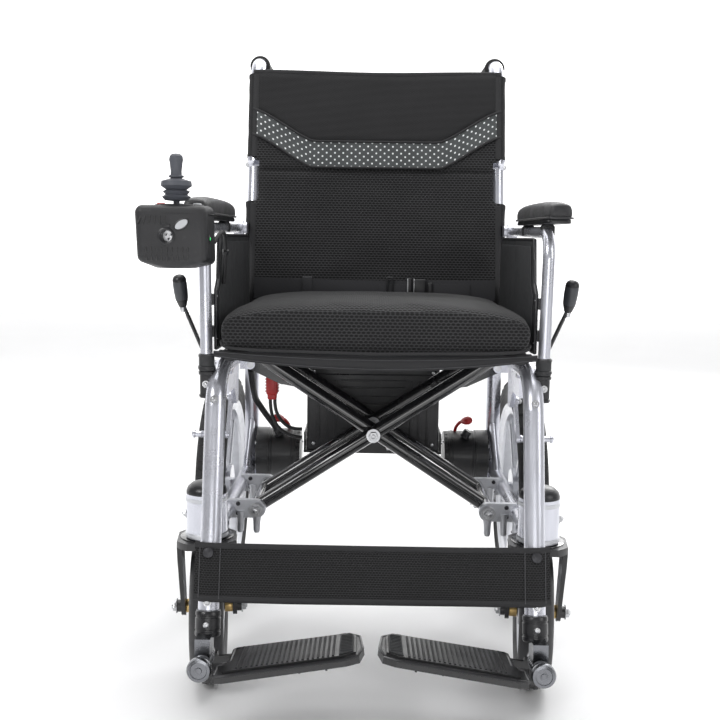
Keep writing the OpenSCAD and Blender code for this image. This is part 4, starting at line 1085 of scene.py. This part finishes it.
    put(side + "_arm_pad_welt", tube(welt, 1.3, 8, closed=True), skin, A, s, "pad_foam")
    put(side + "_arm_pad_screws", sum([bolt((240.5, y, 686.6), (0, 0, -1), 3.4, 1.8, "cross", False) for y in (80, 248)], []), zinc, A, s)
    put(side + "_arm_pad_saddles", [prism([(-9, -9), (9, -9), (9, 4), (6, 8), (-6, 8), (-9, 4)], y - 9, y + 9, lambda a, b, h: (241.2 + a, h, 679 + b), 1.0) for y in (80, 248)], smooth_plastic, A, s, "black_plastic")
    # skirt guard: lip round the panel, screws and clips
    gp = [(56, 506), (56, 588), (74, 602), (88, 664), (412, 664), (424, 650), (424, 520), (410, 506)]
    gl = []
    for i in range(len(gp)):
        p0, p1 = Vector(gp[i]), Vector(gp[(i + 1) % len(gp)])
        n = max(2, int((p1 - p0).length / 14))
        for k in range(n):
            q = p0.lerp(p1, k / n)
            gl.append((224.9, q.x, q.y))
    put(side + "_guard_edge", tube(gl, 3.0, 10, closed=True), smooth_plastic, A, s, "black_plastic")
    put(side + "_guard_panel", prism([(66, 514), (66, 584), (84, 599), (97, 655), (408, 655), (415, 646), (415, 524), (406, 514)], 0, 1.6, lambda a, b, h: (222.4 - h, a, b), 0.8), matte_plastic, A, s, "black_plastic")
    put(side + "_guard_screws", sum([bolt((224.6, 55.4, z), (0, -1, 0), 2.6, 1.6, "cross", False) for z in (520, 580)] + [bolt((227.2, y, z), (1, 0, 0), 3, 1.8, "cross", False) for y, z in ((70, 530), (70, 575), (400, 640), (400, 530))], []), zinc, A, s)
    put(side + "_guard_bracket", [prism([(-8, -6), (8, -6), (8, 6), (-8, 6)], 0, 3, lambda a, b, h: (227.4 + h * 2.4, 60 + b, z + a), 0.8) for z in (530, 575)], smooth_plastic, A, s, "black_plastic")
    put(side + "_arm_collar_rings", [ring([(10.4, 478), (12.0, 478.8), (12.0, 482.5), (10.4, 483.4)], (236, 42, 0), (0, 0, 1), 32), ring([(8.6, 495), (11.2, 495.4), (11.4, 498.4), (9.6, 500), (8.6, 500)], (236.3, 42.4, 0), (0, 0, 1), 32)], smooth_plastic, A, s, "black_plastic")

    # wheel lock lever grip
    B = side + "_brake_lever"
    m = (rot("X", 11) @ rot("Y", 5)).to_3x3()
    # CAD applies the Y turn first
    m = (rot("Y", 5) @ rot("X", 0)).to_3x3()
    ax = rot("X", 11).to_3x3() @ (rot("Y", 5).to_3x3() @ Vector((0, 0, 1)))
    put(side + "_lever_grip", lathe([(0, -1), (5, -0.8), (6.6, 2), (7.2, 6), (9.8, 12), (10.6, 24), (10.7, 35), (10.2, 39.5)], (295, 180, 556), ax, 32), lever_grip, B, s, "grip_rubber")
    put(side + "_lever_grip_top", lathe([(10.3, 39.2), (10.7, 40), (10.2, 43.2), (8, 47.2), (4, 49.2), (0, 49.8)], (295, 180, 556), ax, 32), smooth_plastic, B, s, "black_plastic")
    put(side + "_lever_ferrule", lathe([(3.2, -9), (4.6, -8.4), (5, -2), (4.4, -0.6), (3.2, -0.4)], (295, 180, 556), ax, 20), zinc, B, s)
    put(side + "_lever_hub", [ring([(6.6, 240.4), (11.6, 240.4), (12, 241.6), (12, 246), (11.4, 247.2), (6.6, 247.2)], (0, 245, 425), (1, 0, 0), 36)], steel_dark, B, s, "black_paint")
    put(side + "_shoe_pin", [ring([(4.9, x), (6.6, x + 0.6), (6.8, x + 2), (6.6, x + 3.4), (4.9, x + 4)] , (0, 300, 332), (1, 0, 0), 24) for x in (247, 252)] + [lathe([(5.2, 0), (6.6, 0.6), (6.8, 3), (5, 5.2), (0, 6)], (298, 300, 332), (1, 0, 0), 24)], silver, side + "_brake_shoe", s, "silver_tube")
    k = [tube([(256 + 3.6 * i / 12, 300 + 5.9 * math.cos(i * 1.1), 332 + 5.9 * math.sin(i * 1.1)) for i in range(110)], 0.6, 6)]
    put(side + "_shoe_knurl", k, silver, side + "_brake_shoe", s, "silver_tube")

    # drive wheel: treaded tyre, hub cap, spoke faces
    W = side + "_drive_wheel"
    C, AXX = (275, 478, 203), (1, 0, 0)
    carc = [(153.4, -18.5), (158, -20.4), (164, -22.6), (171, -24), (178, -24.8), (185, -24.4), (191, -22.2), (195.4, -18), (198, -12), (199, -6), (199.4, 0)]
    carc = carc + [(r, -x) for r, x in reversed(carc[:-1])]
    tyre = [ring(carc, C, AXX, 120)]
    def tread_r(x):
        a = abs(x)
        return 202.8 - 0.006 * a * a - (0.052 * (a - 12) ** 2 if a > 12 else 0)
    n = 44
    for i in range(n):
        for sg in (1, -1):
            t0 = 2 * math.pi * i / n + (math.pi / n if sg < 0 else 0)
            xs = [1.6, 6.5, 12, 17, 21.4]
            vs, fs = [], []
            for q, x in enumerate(xs):
                sk = 0.0021 * x
                w = 0.0255 + 0.0004 * x
                for dth, dr in ((-w, -4.6), (w, -4.6), (w * 0.82, 0), (-w * 0.82, 0)):
                    th = t0 + sk + dth
                    r = tread_r(x) + dr
                    vs.append((275 + sg * x, 478 + r * math.sin(th), 203 + r * math.cos(th)))
            for q in range(len(xs) - 1):
                for e in range(4):
                    a0, b0 = q * 4 + e, q * 4 + (e + 1) % 4
                    f = (a0, b0, b0 + 4, a0 + 4)
                    fs.append(f if sg < 0 else tuple(reversed(f)))
            e0, e1 = (0, 1, 2, 3), (16, 19, 18, 17)
            fs.append(e0 if sg > 0 else tuple(reversed(e0))); fs.append(e1 if sg > 0 else tuple(reversed(e1)))
            tyre.append((vs, fs))
    tyre += [ring([(r - 0.7, x), (r, x + 0.9 * (1 if x > 0 else -1)), (r + 0.7, x)] if x > 0 else [(r - 0.7, x), (r + 0.7, x), (r, x - 0.9)], C, AXX, 96) for r, x in ((168, 23.2), (168, -23.2), (174, 24.2), (174, -24.2))]
    t = put(side + "_treaded_tyre", tyre, rubber, None, s, "tyre_rubber", sharp=28)
    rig.replaces(t, side + "_rear_tyre")
    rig.ride(t, W)
    put(side + "_rim_lips", [ring([(151, sg * 17.5), (155.2, sg * 18.6), (157, sg * 20.4), (155.2, sg * 21.4), (152, sg * 20.4), (149.6, sg * 18)] if sg > 0 else list(reversed([(151, sg * 17.5), (155.2, sg * 18.6), (157, sg * 20.4), (155.2, sg * 21.4), (152, sg * 20.4), (149.6, sg * 18)])), C, AXX, 96) for sg in (1, -1)], rim_mat, W, s, "rim_silver")
    sp = []
    for i in range(5):
        a = 2 * math.pi * i / 5
        # ribbed face on each spoke, tapering outwards
        for sg in (1,):
            poly = [(30, -14.5), (84, -10.5), (139, -15.5), (141, -15.5), (141, 15.5), (139, 15.5), (84, 10.5), (30, 14.5)]
            sp.append(prism(poly, 5.5, 8.5, lambda r, w, h, a=a: (275 + h, 478 + r * math.sin(a) + w * math.cos(a), 203 - r * math.cos(a) + w * math.sin(a)), 1.2))
            sp.append(prism([(38, -3), (130, -3), (130, 3), (38, 3)], 7.5, 11.5, lambda r, w, h, a=a: (275 + h, 478 + r * math.sin(a) + w * math.cos(a), 203 - r * math.cos(a) + w * math.sin(a)), 1.4))
            sp.append(prism([(38, -3), (130, -3), (130, 3), (38, 3)], -8.5, -5.0, lambda r, w, h, a=a: (275 + h, 478 + r * math.sin(a) + w * math.cos(a), 203 - r * math.cos(a) + w * math.sin(a)), 1.4))
    put(side + "_spoke_faces", sp, rim_mat, W, s, "rim_silver")
    put(side + "_hub_cap", [lathe([(26, 15.6), (26.4, 17), (24, 21), (16, 23.6), (13, 23.8), (12.4, 26.5), (9, 28.4), (0, 29)], C, AXX, 48)], smooth_plastic, W, s, "black_plastic")
    put(side + "_hub_bolts", sum([bolt((290.8, 478 + 29.5 * math.sin(a), 203 + 29.5 * math.cos(a)), (1, 0, 0), 2.8, 2.4, "hex", False) for a in [0.6 + 2 * math.pi * q / 5 for q in range(5)]], []), zinc, W, s)
    put(side + "_tyre_valve", [lathe([(2.6, 0), (2.6, 10), (3.2, 10.4), (3.2, 15), (2.2, 16), (0, 16)], (279, 478 + 137 * math.sin(0.62), 203 - 137 * math.cos(0.62)), (0.35, -math.sin(0.62), math.cos(0.62)), 16)], steel_dark, W, s)

    # caster: smooth tyre with ribs, spoked plastic centre, axle, fork trim
    y6 = math.radians(6)
    fwd = Vector((math.sin(y6), math.cos(y6), 0)); lat = Vector((math.cos(y6), -math.sin(y6), 0))
    stem = Vector((236, 36, 0))
    cc = stem + fwd * 58 + Vector((0, 0, 113))
    CW = side + "_caster_wheel"
    prof = [(70, -17.6), (74, -20), (80, -22.6), (88, -24.2), (96, -24.2), (103, -21.6), (108, -17), (110.8, -11.6), (109.6, -10.6), (109.6, -9.4), (112.2, -8.6), (113, -3.2), (111.4, -2.4), (111.4, 2.4), (113, 3.2), (112.2, 8.6), (109.6, 9.4), (109.6, 10.6), (110.8, 11.6), (108, 17), (103, 21.6), (96, 24.2), (88, 24.2), (80, 22.6), (74, 20), (70, 17.6)]
    ct = put(side + "_caster_tyre", [ring(prof, cc, lat, 96)], caster_rubber, None, s, "tyre_rubber", sharp=30)
    rimp = [(60, -15), (66, -18.4), (70.6, -19.4), (72.4, -18.4), (71, -16), (71, 16), (72.4, 18.4), (70.6, 19.4), (66, 18.4), (60, 15), (58, 6), (58, -6)]
    cs = [ring(rimp, cc, lat, 72), lathe([(0, -22.4), (9, -22.4), (20, -22), (21.5, -20), (21.5, 20), (20, 22), (9, 22.4), (0, 22.4)], cc, lat, 40)]
    up = Vector((0, 0, 1))
    for i in range(5):
        a = 2 * math.pi * (i + 0.25) / 5
        rd = up * math.cos(a) + fwd * math.sin(a); tn = fwd * math.cos(a) - up * math.sin(a)
        cs.append(prism([(16, -11), (40, -8), (60, -12), (60, 12), (40, 8), (16, 11)], -8, 8, lambda r, w, h, rd=rd, tn=tn: cc + rd * r + tn * w + lat * h, 2))
    cr = put(side + "_caster_centre", cs, rim_mat, None, s, "rim_silver")
    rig.replaces(ct, side + "_caster_wheel")
    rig.ride(ct, CW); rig.ride(cr, CW)
    FK = side + "_caster_fork"
    fp = []
    for sg in (1, -1):
        c0 = cc + lat * (sg * 41)
        fp += bolt(cc + lat * (sg * 48.4), lat * sg, 7.5, 5, "hex")
    put(side + "_fork_axle_nuts", fp, zinc, FK, s)
    put(side + "_fork_spacers", [ring([(6.2, a), (9.6, a), (10, a + 1.2), (10, b - 1.2), (9.6, b), (6.2, b)], cc, lat, 32) for a, b in ((23.2, 34.8), (-34.8, -23.2))], brass, FK, s)
    legs = []
    for x0, x1 in ((-42.4, -40.4), (40.4, 42.4)):
        legs.append(prism([(-8, 233), (22, 233), (27, 224), (64, 122), (60, 110), (54, 112), (-2, 202), (-9, 224)], x0, x1, lambda yy, zz, h: stem + fwd * yy + lat * h + Vector((0, 0, zz)), 0.8))
    legs.append(prism([(38 * math.cos(t), 6 + 36 * math.sin(t)) for t in [2 * math.pi * q / 36 for q in range(36)]], 236.2, 239.6 - 1.2, lambda xx, yy, h: stem + fwd * yy + lat * xx + Vector((0, 0, h)), 1.0))
    put(side + "_fork_ribs", legs, gloss, FK, s, "black_paint")
    put(side + "_fork_crown_bolt", bolt(stem + Vector((0, 0, 227)), (0, 0, -1), 8.5, 5, "hex"), zinc, FK, s)

    # footplate: ribbed rubber mat, textured inner pad, hinge caps, edge trim
    P = side + "_footplate"
    fo = Vector((222, -80, 105))
    m = rot("X", -5) @ rot("Y", 7)
    def fp_pt(a, b, h): return fo + (m @ Vector((a, b, h)))
    ribs = []
    outline = [(-30, -46), (-188, -31), (-203, -22), (-203, 46), (-190, 58), (-43, 47), (-43, -4), (-30, -12)]
    for k in range(20):
        x = -48 - k * 6.6
        yl = lerp(-44, -32, (-30 - x) / 158) + 3
        yh = lerp(47, 57, (-43 - x) / 147) - 3
        ribs.append(prism([(x - 1.5, yl), (x + 1.5, yl), (x + 1.5, yh), (x - 1.5, yh)], -3.6, -1.7, fp_pt, 0.5, 1))
    put(side + "_footplate_mat", ribs, grip, P, s, "grip_rubber")
    put(side + "_footplate_pad", [prism([(-181, -29), (-200, -20), (-200, 44), (-188, 55), (-181, 54)], -3.4, -1.2, fp_pt, 0.8)] + [prism([(-183, y), (-198, y), (-198, y + 2.4), (-183, y + 2.4)], -1.8, 0.2, fp_pt, 0.4, 1) for y in [-18 + 6 * q for q in range(11)]], matte_plastic, P, s, "black_plastic")
    edge = [(-19, -50), (-30, -54), (-190, -38), (-207, -30), (-213, 0), (-209, 50), (-194, 66), (-38, 53), (-34, 48), (-34, -6), (-19, -14)]
    el = []
    for i in range(len(edge)):
        p0, p1 = Vector(edge[i]), Vector(edge[(i + 1) % len(edge)])
        n2 = max(1, int((p1 - p0).length / 12))
        for q in range(n2):
            c = p0.lerp(p1, q / n2)
            el.append(fp_pt(c.x * 0.992, c.y * 0.985, -7.0))
    put(side + "_footplate_edge", tube(el, 2.2, 8, closed=True), smooth_plastic, P, s, "black_plastic")
    und = [prism([(x, -40), (x + 3, -40), (x + 3, 44), (x, 44)], -18.2, -15.2, fp_pt, 0.6, 1) for x in (-60, -95, -130, -165)]
    und.append(prism([(-45, -3), (-195, -3), (-195, 3), (-45, 3)], -18.2, -15.2, fp_pt, 0.6, 1))
    put(side + "_footplate_ribs", und, satin_black, P, s, "black_paint")
    fr = rot("X", -5).to_3x3()
    ax = fr @ Vector((0, -1, 0))
    put(side + "_foot_hinge_cap", [lathe([(15.2, 34), (16, 35.5), (16, 41), (14.6, 43.6), (11, 44.4), (10.4, 43.4), (4.6, 43.4), (4, 44.6), (0, 45)], fo, ax, 40)], chrome, F, s, "dark_chrome")
    put(side + "_foot_hinge_back", [lathe([(8.4, 36.6), (8.2, 39), (5.4, 40.6), (0, 41)], fo, -ax, 28)], zinc, F, s)
    cast_parts = []
    for q in range(5):
        yy = -17 + q * 7.4
        cast_parts.append(ring([(10.2, yy), (11.8, yy + 0.8), (11.8, yy + 3.4), (10.2, yy + 4.2)], fo, fr @ Vector((0, 1, 0)), 28))
    put(side + "_foot_hinge_barrel", cast_parts, chrome, F, s, "dark_chrome")

# ---- centre: brace bolts, battery, cables
for y, ax in ((141.2, -1), (241.2, -1), (196.2, 1), (305.2, 1)):
    put("brace_cross_bolt_%d" % int(y), bolt((0, y, 250 + 177 * math.tan(math.radians(33.1667))), (0, ax, 0), 7.2, 5, "hex"), zinc, "brace_b")
for s, side, b in ((-1, "right", "brace_b"), (1, "left", "brace_a")):
    ys = (160, 260) if b == "brace_a" else (183, 283)
    put(side + "_brace_eye_screws", sum([bolt((204, y - 10, 490.5), (0, -1, 0), 3.0, 2, "socket", False) for y in ys], []), zinc, b, s)
    put(side + "_brace_weld", sum([[ring([(12.6, -11.0), (14.2, -10.2), (14.2, 10.2), (12.6, 11.0), (12.4, 0)], (204, y, 499), (0, 1, 0), 40)] for y in ys], []), gloss, b, s, "black_paint")
bx = []
bt = "battery"
put("battery_lid", [prism([(x * sx + (0), y) for x, y, sx in []] or [(-106, 308), (106, 308), (109.5, 312), (109.5, 378), (106, 382), (-106, 382), (-109.5, 378), (-109.5, 312)], 449.6, 453.5, lambda a, b, h: (a, b, h), 1.4)], smooth_plastic, bt, slot="black_plastic")
put("battery_ribs", [rbox((x, 305.6, 372), (5, 1.6, 108), 0.7) for x in (-92, -78, -64, 64, 78, 92)] + [rbox((0, 305.5, z), (110, 1.6, 3), 0.7) for z in (330, 342, 414, 426)] + [rbox((0, 305.4, 378), (96, 1.4, 44), 0.6)], plastic, bt, slot="black_plastic")
put("battery_seam", [tube([(x, y, 436) for x, y in [(-106, 305.8), (106, 305.8), (111.2, 311), (111.2, 379), (106, 384.2), (-106, 384.2), (-111.2, 379), (-111.2, 311)]], 1.1, 8, closed=True)], smooth_plastic, bt, slot="black_plastic")
put("battery_handle_grip", [tube([(-38, 400, 406), (38, 400, 406)], 3, 16, flat=(8.0, 7.2), up=(0, 0, 1))] + [ring([(7.6, x), (8.8, x + 0.6), (8.8, x + 3), (7.6, x + 3.6)], (0, 400, 406), (1, 0, 0), 28) for x in range(-32, 33, 8)], grip, bt, slot="grip_rubber")
put("battery_back_panel", [prism([(-70, 330), (70, 330), (74, 334), (74, 386), (70, 390), (-70, 390), (-74, 386), (-74, 334)], 383.6, 385.4, lambda a, b, h: (a, h, b), 0.7)] + [rbox((-30 + 12 * q, 385.6, 352), (5, 1.6, 26), 0.7) for q in range(6)], plastic, bt, slot="black_plastic")
put("battery_screws", sum([bolt((x, 306, z), (0, -1, 0), 3, 1.6, "cross", False) for x in (-100, 100) for z in (318, 441)], []), zinc, bt)
put("tray_screws", sum([bolt((x, 301.2, 312), (0, -1, 0), 3.4, 2.2, "hex", False) for x in (-26, 26)], []) + bolt((0, 300.8, 336), (0, -1, 0), 4, 2.6, "hex", False), zinc, "battery_carrier")
# red power connector standing beside the battery, on its own leads
put("battery_connector", [rbox((-168, 291, 421), (19, 20, 36), 3.2), rbox((-168, 291, 400), (15, 16, 10), 2.4), rbox((-168, 291, 440.5), (22, 22, 5), 1.8), rbox((-168, 280.6, 421), (10, 2, 24), 0.8)] +
    [rbox((-168 + sx * 10.2, 291, z), (1.8, 15, 2), 0.6) for sx in (-1, 1) for z in range(409, 435, 5)], red, "right_frame", slot="red_plastic")


def lead(name, pts, r, mat, body, ln_far="object", stiff="medium", lay="loose", side=1):
    path = smooth_path(pts, 7)
    ob = put(name, tube(path, r, 12), mat, None, slot="grip_rubber", uv=None)
    mm = [((p.x) * MM, (p.y - YC) * MM, p.z * MM) for p in path]
    ln = sum((Vector(a) - Vector(b)).length for a, b in zip(mm, mm[1:]))
    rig.cord(ob, exit=mm[0], length=round(ln, 4), diameter=2 * r * MM, far_end=ln_far, stiffness=stiff, lay=lay, path=mm)
    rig.ride(ob, body)
    return ob, ln


lead("battery_lead_a", [(-171, 291, 396), (-171, 291, 386), (-168, 291, 368), (-159, 292, 349), (-145, 294, 337), (-130, 297, 331), (-119, 300, 329)], 2.9, grip, "right_frame")
lead("battery_lead_b", [(-163.5, 291, 396), (-163.5, 291, 388), (-161, 291, 374), (-153, 292, 359), (-141, 295, 348), (-129, 298, 344), (-119, 301, 343)], 2.9, grip, "right_frame")
mc, _ = lead("motor_cable_run", [(-207, 318, 440), (-207, 334, 423), (-207, 352, 405), (-207, 374, 388.5), (-206.2, 387, 378.5), (-201, 395.5, 367), (-190.5, 400.8, 350), (-178.5, 404.5, 333), (-167.5, 407.8, 316.5)], 5.4, grip, "right_frame")
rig.replaces(mc, "motor_cable")
cc_, _ = lead("controller_cable_run", [(-219, 5.6, 655), (-217, 13, 661), (-213, 26, 668), (-211.6, 42, 668), (-211.8, 58, 660), (-213, 70, 644), (-215.6, 80, 620), (-218.4, 87, 596)], 2.8, grip, "right_armrest")
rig.replaces(cc_, "controller_cable")
put("cable_clips", [ring([(3.0, -3), (4.4, -3), (4.6, 0), (4.4, 3), (3.0, 3)], (-213.6, 71.5, 641), (-0.06, 0.45, -0.9), 20)], smooth_plastic, "right_armrest", slot="black_plastic")

# ---- controller face: vents, socket, badge-free window, lamp, trim
A = "right_armrest"
def face(x, z):
    """depth of the front face of the housing near (x, z)"""
    t = (z - 638) / 54
    return -66 - 9 + t * (-2.6)
vent = []
for i in range(6):
    x = -301 + i * 6.6
    vent.append(rbox((x, face(x, 684) - 0.3, 684 - abs(i - 2.5) * 0.6), (2.2, 1.8, 11), 0.7, rot("Y", 28 - 6 * i)))
for i in range(9):
    x = -293 + i * 6.6
    vent.append(rbox((x, face(x, 647) - 0.1, 646), (2.0, 1.8, 6.5), 0.6, rot("Y", -8 + 2 * i)))
    vent.append(rbox((x, face(x, 636) + 0.2, 636), (2.4, 1.8, 8.5), 0.6, rot("Y", -14 + 3.4 * i)))
put("controller_vents", vent, satin_black, A, slot="black_plastic")
put("controller_socket_ring", [ring([(7.7, -1.6), (7.9, 1.8), (9.4, 2.4), (11.2, 1.6), (11.6, -1.6)], (-267, -75.4, 663), (0, -1, 0), 40), rbox((-267, -77.0, 676), (11, 2.6, 5), 1.2)], smooth_plastic, A, slot="black_plastic")
put("controller_socket_pins", [lathe([(0, 0), (1.3, 0), (1.3, 5), (0.6, 6), (0, 6)], (-267 + 3.6 * math.cos(a), -60.5, 663 + 3.6 * math.sin(a)), (0, -1, 0), 12) for a in (0.5, 2.6, 4.7)] + [lathe([(0, -0.2), (7.4, -0.2), (7.4, 0.8), (0, 0.8)], (-267, -60.2, 663), (0, -1, 0), 28)], zinc, A)
ov = [(math.cos(t) * 9.2, math.sin(t) * 4.6) for t in [2 * math.pi * q / 36 for q in range(36)]]
mt = rot("Y", -33).to_3x3()
put("controller_window", prism(ov, -0.5, 1.7, lambda a, b, h: Vector((-247.5, -76.9 - h, 678)) + mt @ Vector((a, 0, b)), 0.8), grey_plastic, A, slot="grey_plastic")
put("controller_window_rim", tube([Vector((-247.5, -77.4, 678)) + mt @ Vector((a * 1.1, 0, b * 1.16)) for a, b in ov], 0.9, 8, closed=True), smooth_plastic, A, slot="black_plastic")
put("controller_lamp", lathe([(0, -0.4), (2.4, -0.4), (2.5, 0.6), (1.6, 1.6), (0, 2)], (-216.3, -52, 660), (1, 0, 0), 20), led_mat, A)
put("controller_lamp_bezel", ring([(2.5, -0.6), (4.6, -0.6), (4.8, 0.6), (4.0, 1.2), (2.6, 1.0)], (-216.2, -52, 660), (1, 0, 0), 24), smooth_plastic, A, slot="black_plastic")
seam = []
for k in range(72):
    t = 2 * math.pi * k / 72
    a = math.copysign(abs(math.cos(t)) ** 0.32, math.cos(t)); b = math.copysign(abs(math.sin(t)) ** 0.32, math.sin(t))
    seam.append((-262.5 + a * 46.1, -37.5 + b * 39.8, 691))
put("controller_seam", tube(seam, 1.0, 8, closed=True), smooth_plastic, A, slot="black_plastic")
put("controller_button_bezels", [ring([(6.3, -1.0), (8.6, -1.0), (8.8, 0.4), (7.8, 1.3), (6.4, 1.1)], (x, -14, 703), (0, 0, 1), 32) for x in (-286, -262, -238)], smooth_plastic, A, slot="black_plastic")
put("controller_base_screws", sum([bolt((x, y, 628.5), (0, 0, -1), 2.8, 1.6, "cross", False) for x in (-290, -232) for y in (-62, -10)], []), zinc, A)
put("joystick_bezel", ring([(17.2, -0.8), (21, -0.8), (22.2, 0), (21.6, 0.5), (18.4, 0.6), (17.4, 0.3)], (-259, -48, 703), (0, 0, 1), 48), smooth_plastic, A, slot="black_plastic")
put("joystick_cap_ring", [ring([(7.6, 40.2), (9.6, 40.8), (9.8, 42.6), (8, 43.6), (7.2, 43.4)], (-259, -48, 697), (0, 0, 1), 36), lathe([(8.6, 61.2), (9, 62.4), (8.2, 67.6), (5.4, 70.2), (0, 70.9)], (-259, -48, 697), (0, 0, 1), 36)], slate, "joystick", slot="grip_rubber")
for nm, x in (("power", -286), ("speed", -262), ("horn", -238)):
    put(nm + "_button_cap", [lathe([(5.4, 704.8), (5.5, 705.6), (4.4, 706.2), (2.4, 705.9), (0, 705.8)], (x, -14, 0), (0, 0, 1), 28)], red if nm == "power" else grey_plastic, nm + "_button", slot="red_plastic" if nm == "power" else "grey_plastic")
put("controller_mount_clamp", [rbox((-236, 20, 666), (18, 30, 15), 3), ring([(9.0, -7), (12.6, -7), (13, -5), (13, 5), (12.6, 7), (9.0, 7)], (-238.6, 45.8, 664), (0.02, 0.02, 1), 32)] + bolt((-227, 24, 666), (1, 0, 0), 3.2, 2, "socket", False), smooth_plastic, A, slot="black_plastic")

# ---------------------------------------------------------------- floor, light, camera
bm = bmesh.new()
bmesh.ops.create_grid(bm, x_segments=2, y_segments=2, size=9)
me = bpy.data.meshes.new("studio_floor"); bm.to_mesh(me); bm.free()
floor = bpy.data.objects.new("studio_floor", me)
bpy.context.scene.collection.objects.link(floor)
floor.location.z = -0.0006
me.materials.append(floor_mat)
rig.stage(floor)
world = bpy.data.worlds.new("studio")
bpy.context.scene.world = world
world.use_nodes = True
bg = world.node_tree.nodes["Background"]
bg.inputs[0].default_value = (1.0, 1.0, 1.0, 1)
bg.inputs[1].default_value = 0.34


def area(name, loc, target, size, power, size_y=None, color=(1, 1, 1)):
    l = bpy.data.lights.new(name, "AREA")
    l.energy, l.size, l.color = power, size, color
    if size_y: l.shape, l.size_y = "RECTANGLE", size_y
    o = bpy.data.objects.new(name, l)
    o.location = loc
    o.rotation_euler = (Vector(target) - Vector(loc)).to_track_quat("-Z", "Y").to_euler()
    bpy.context.scene.collection.objects.link(o)
    return o


bm = bmesh.new()
bmesh.ops.create_grid(bm, x_segments=2, y_segments=2, size=14)
me = bpy.data.meshes.new("studio_backdrop"); bm.to_mesh(me); bm.free()
drop = bpy.data.objects.new("studio_backdrop", me)
bpy.context.scene.collection.objects.link(drop)
drop.location, drop.rotation_euler = (0, 6.5, 2), (math.radians(90), 0, 0)
dm = bpy.data.materials.new("studio_white"); dm.use_nodes = True
dn_ = dm.node_tree.nodes.get("Principled BSDF")
dn_.inputs["Base Color"].default_value = (1, 1, 1, 1)
dn_.inputs["Emission Color"].default_value = (1, 1, 1, 1)
dn_.inputs["Emission Strength"].default_value = 1.0
me.materials.append(dm)
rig.stage(drop)
area("key", (-2.2, -2.4, 2.6), (0, 0, 0.5), 1.2, 46)
area("fill", (2.6, -1.8, 1.6), (0, 0, 0.45), 1.1, 22, 1.8)
area("top", (0, 0.2, 3.2), (0, 0, 0.4), 2.4, 60)
area("rim", (1.4, 2.6, 2.0), (0, 0, 0.6), 1.2, 30)
area("low", (0, -3.0, 0.5), (0, 0, 0.35), 1.6, 9, 0.5)

pitch, yaw, roll = math.radians(7.2), math.radians(0.42), math.radians(0.8)
fw = Vector((-math.sin(yaw) * math.cos(pitch), math.cos(yaw) * math.cos(pitch), -math.sin(pitch)))
rt = Vector((math.cos(yaw), math.sin(yaw), 0))
dn = fw.cross(rt)
rt2, dn2 = rt * math.cos(roll) - dn * math.sin(roll), rt * math.sin(roll) + dn * math.cos(roll)
cam = bpy.data.cameras.new("camera")
cam.lens, cam.sensor_width = 985 / 720 * 36, 36
co = bpy.data.objects.new("camera", cam)
bpy.context.scene.collection.objects.link(co)
co.matrix_world = Matrix(((rt2.x, -dn2.x, -fw.x, -0.011), (rt2.y, -dn2.y, -fw.y, -1.6075), (rt2.z, -dn2.z, -fw.z, 0.667), (0, 0, 0, 1)))
cam.clip_start, cam.clip_end = 0.05, 60
bpy.context.scene.camera = co
bpy.context.scene.view_settings.view_transform = "Standard"

bpy.context.scene.frame_set(1)
with open("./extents.json", "w") as fh:
    json.dump({"cad": CAD_BOX, "visual": [list(v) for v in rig.bounds()]}, fh)
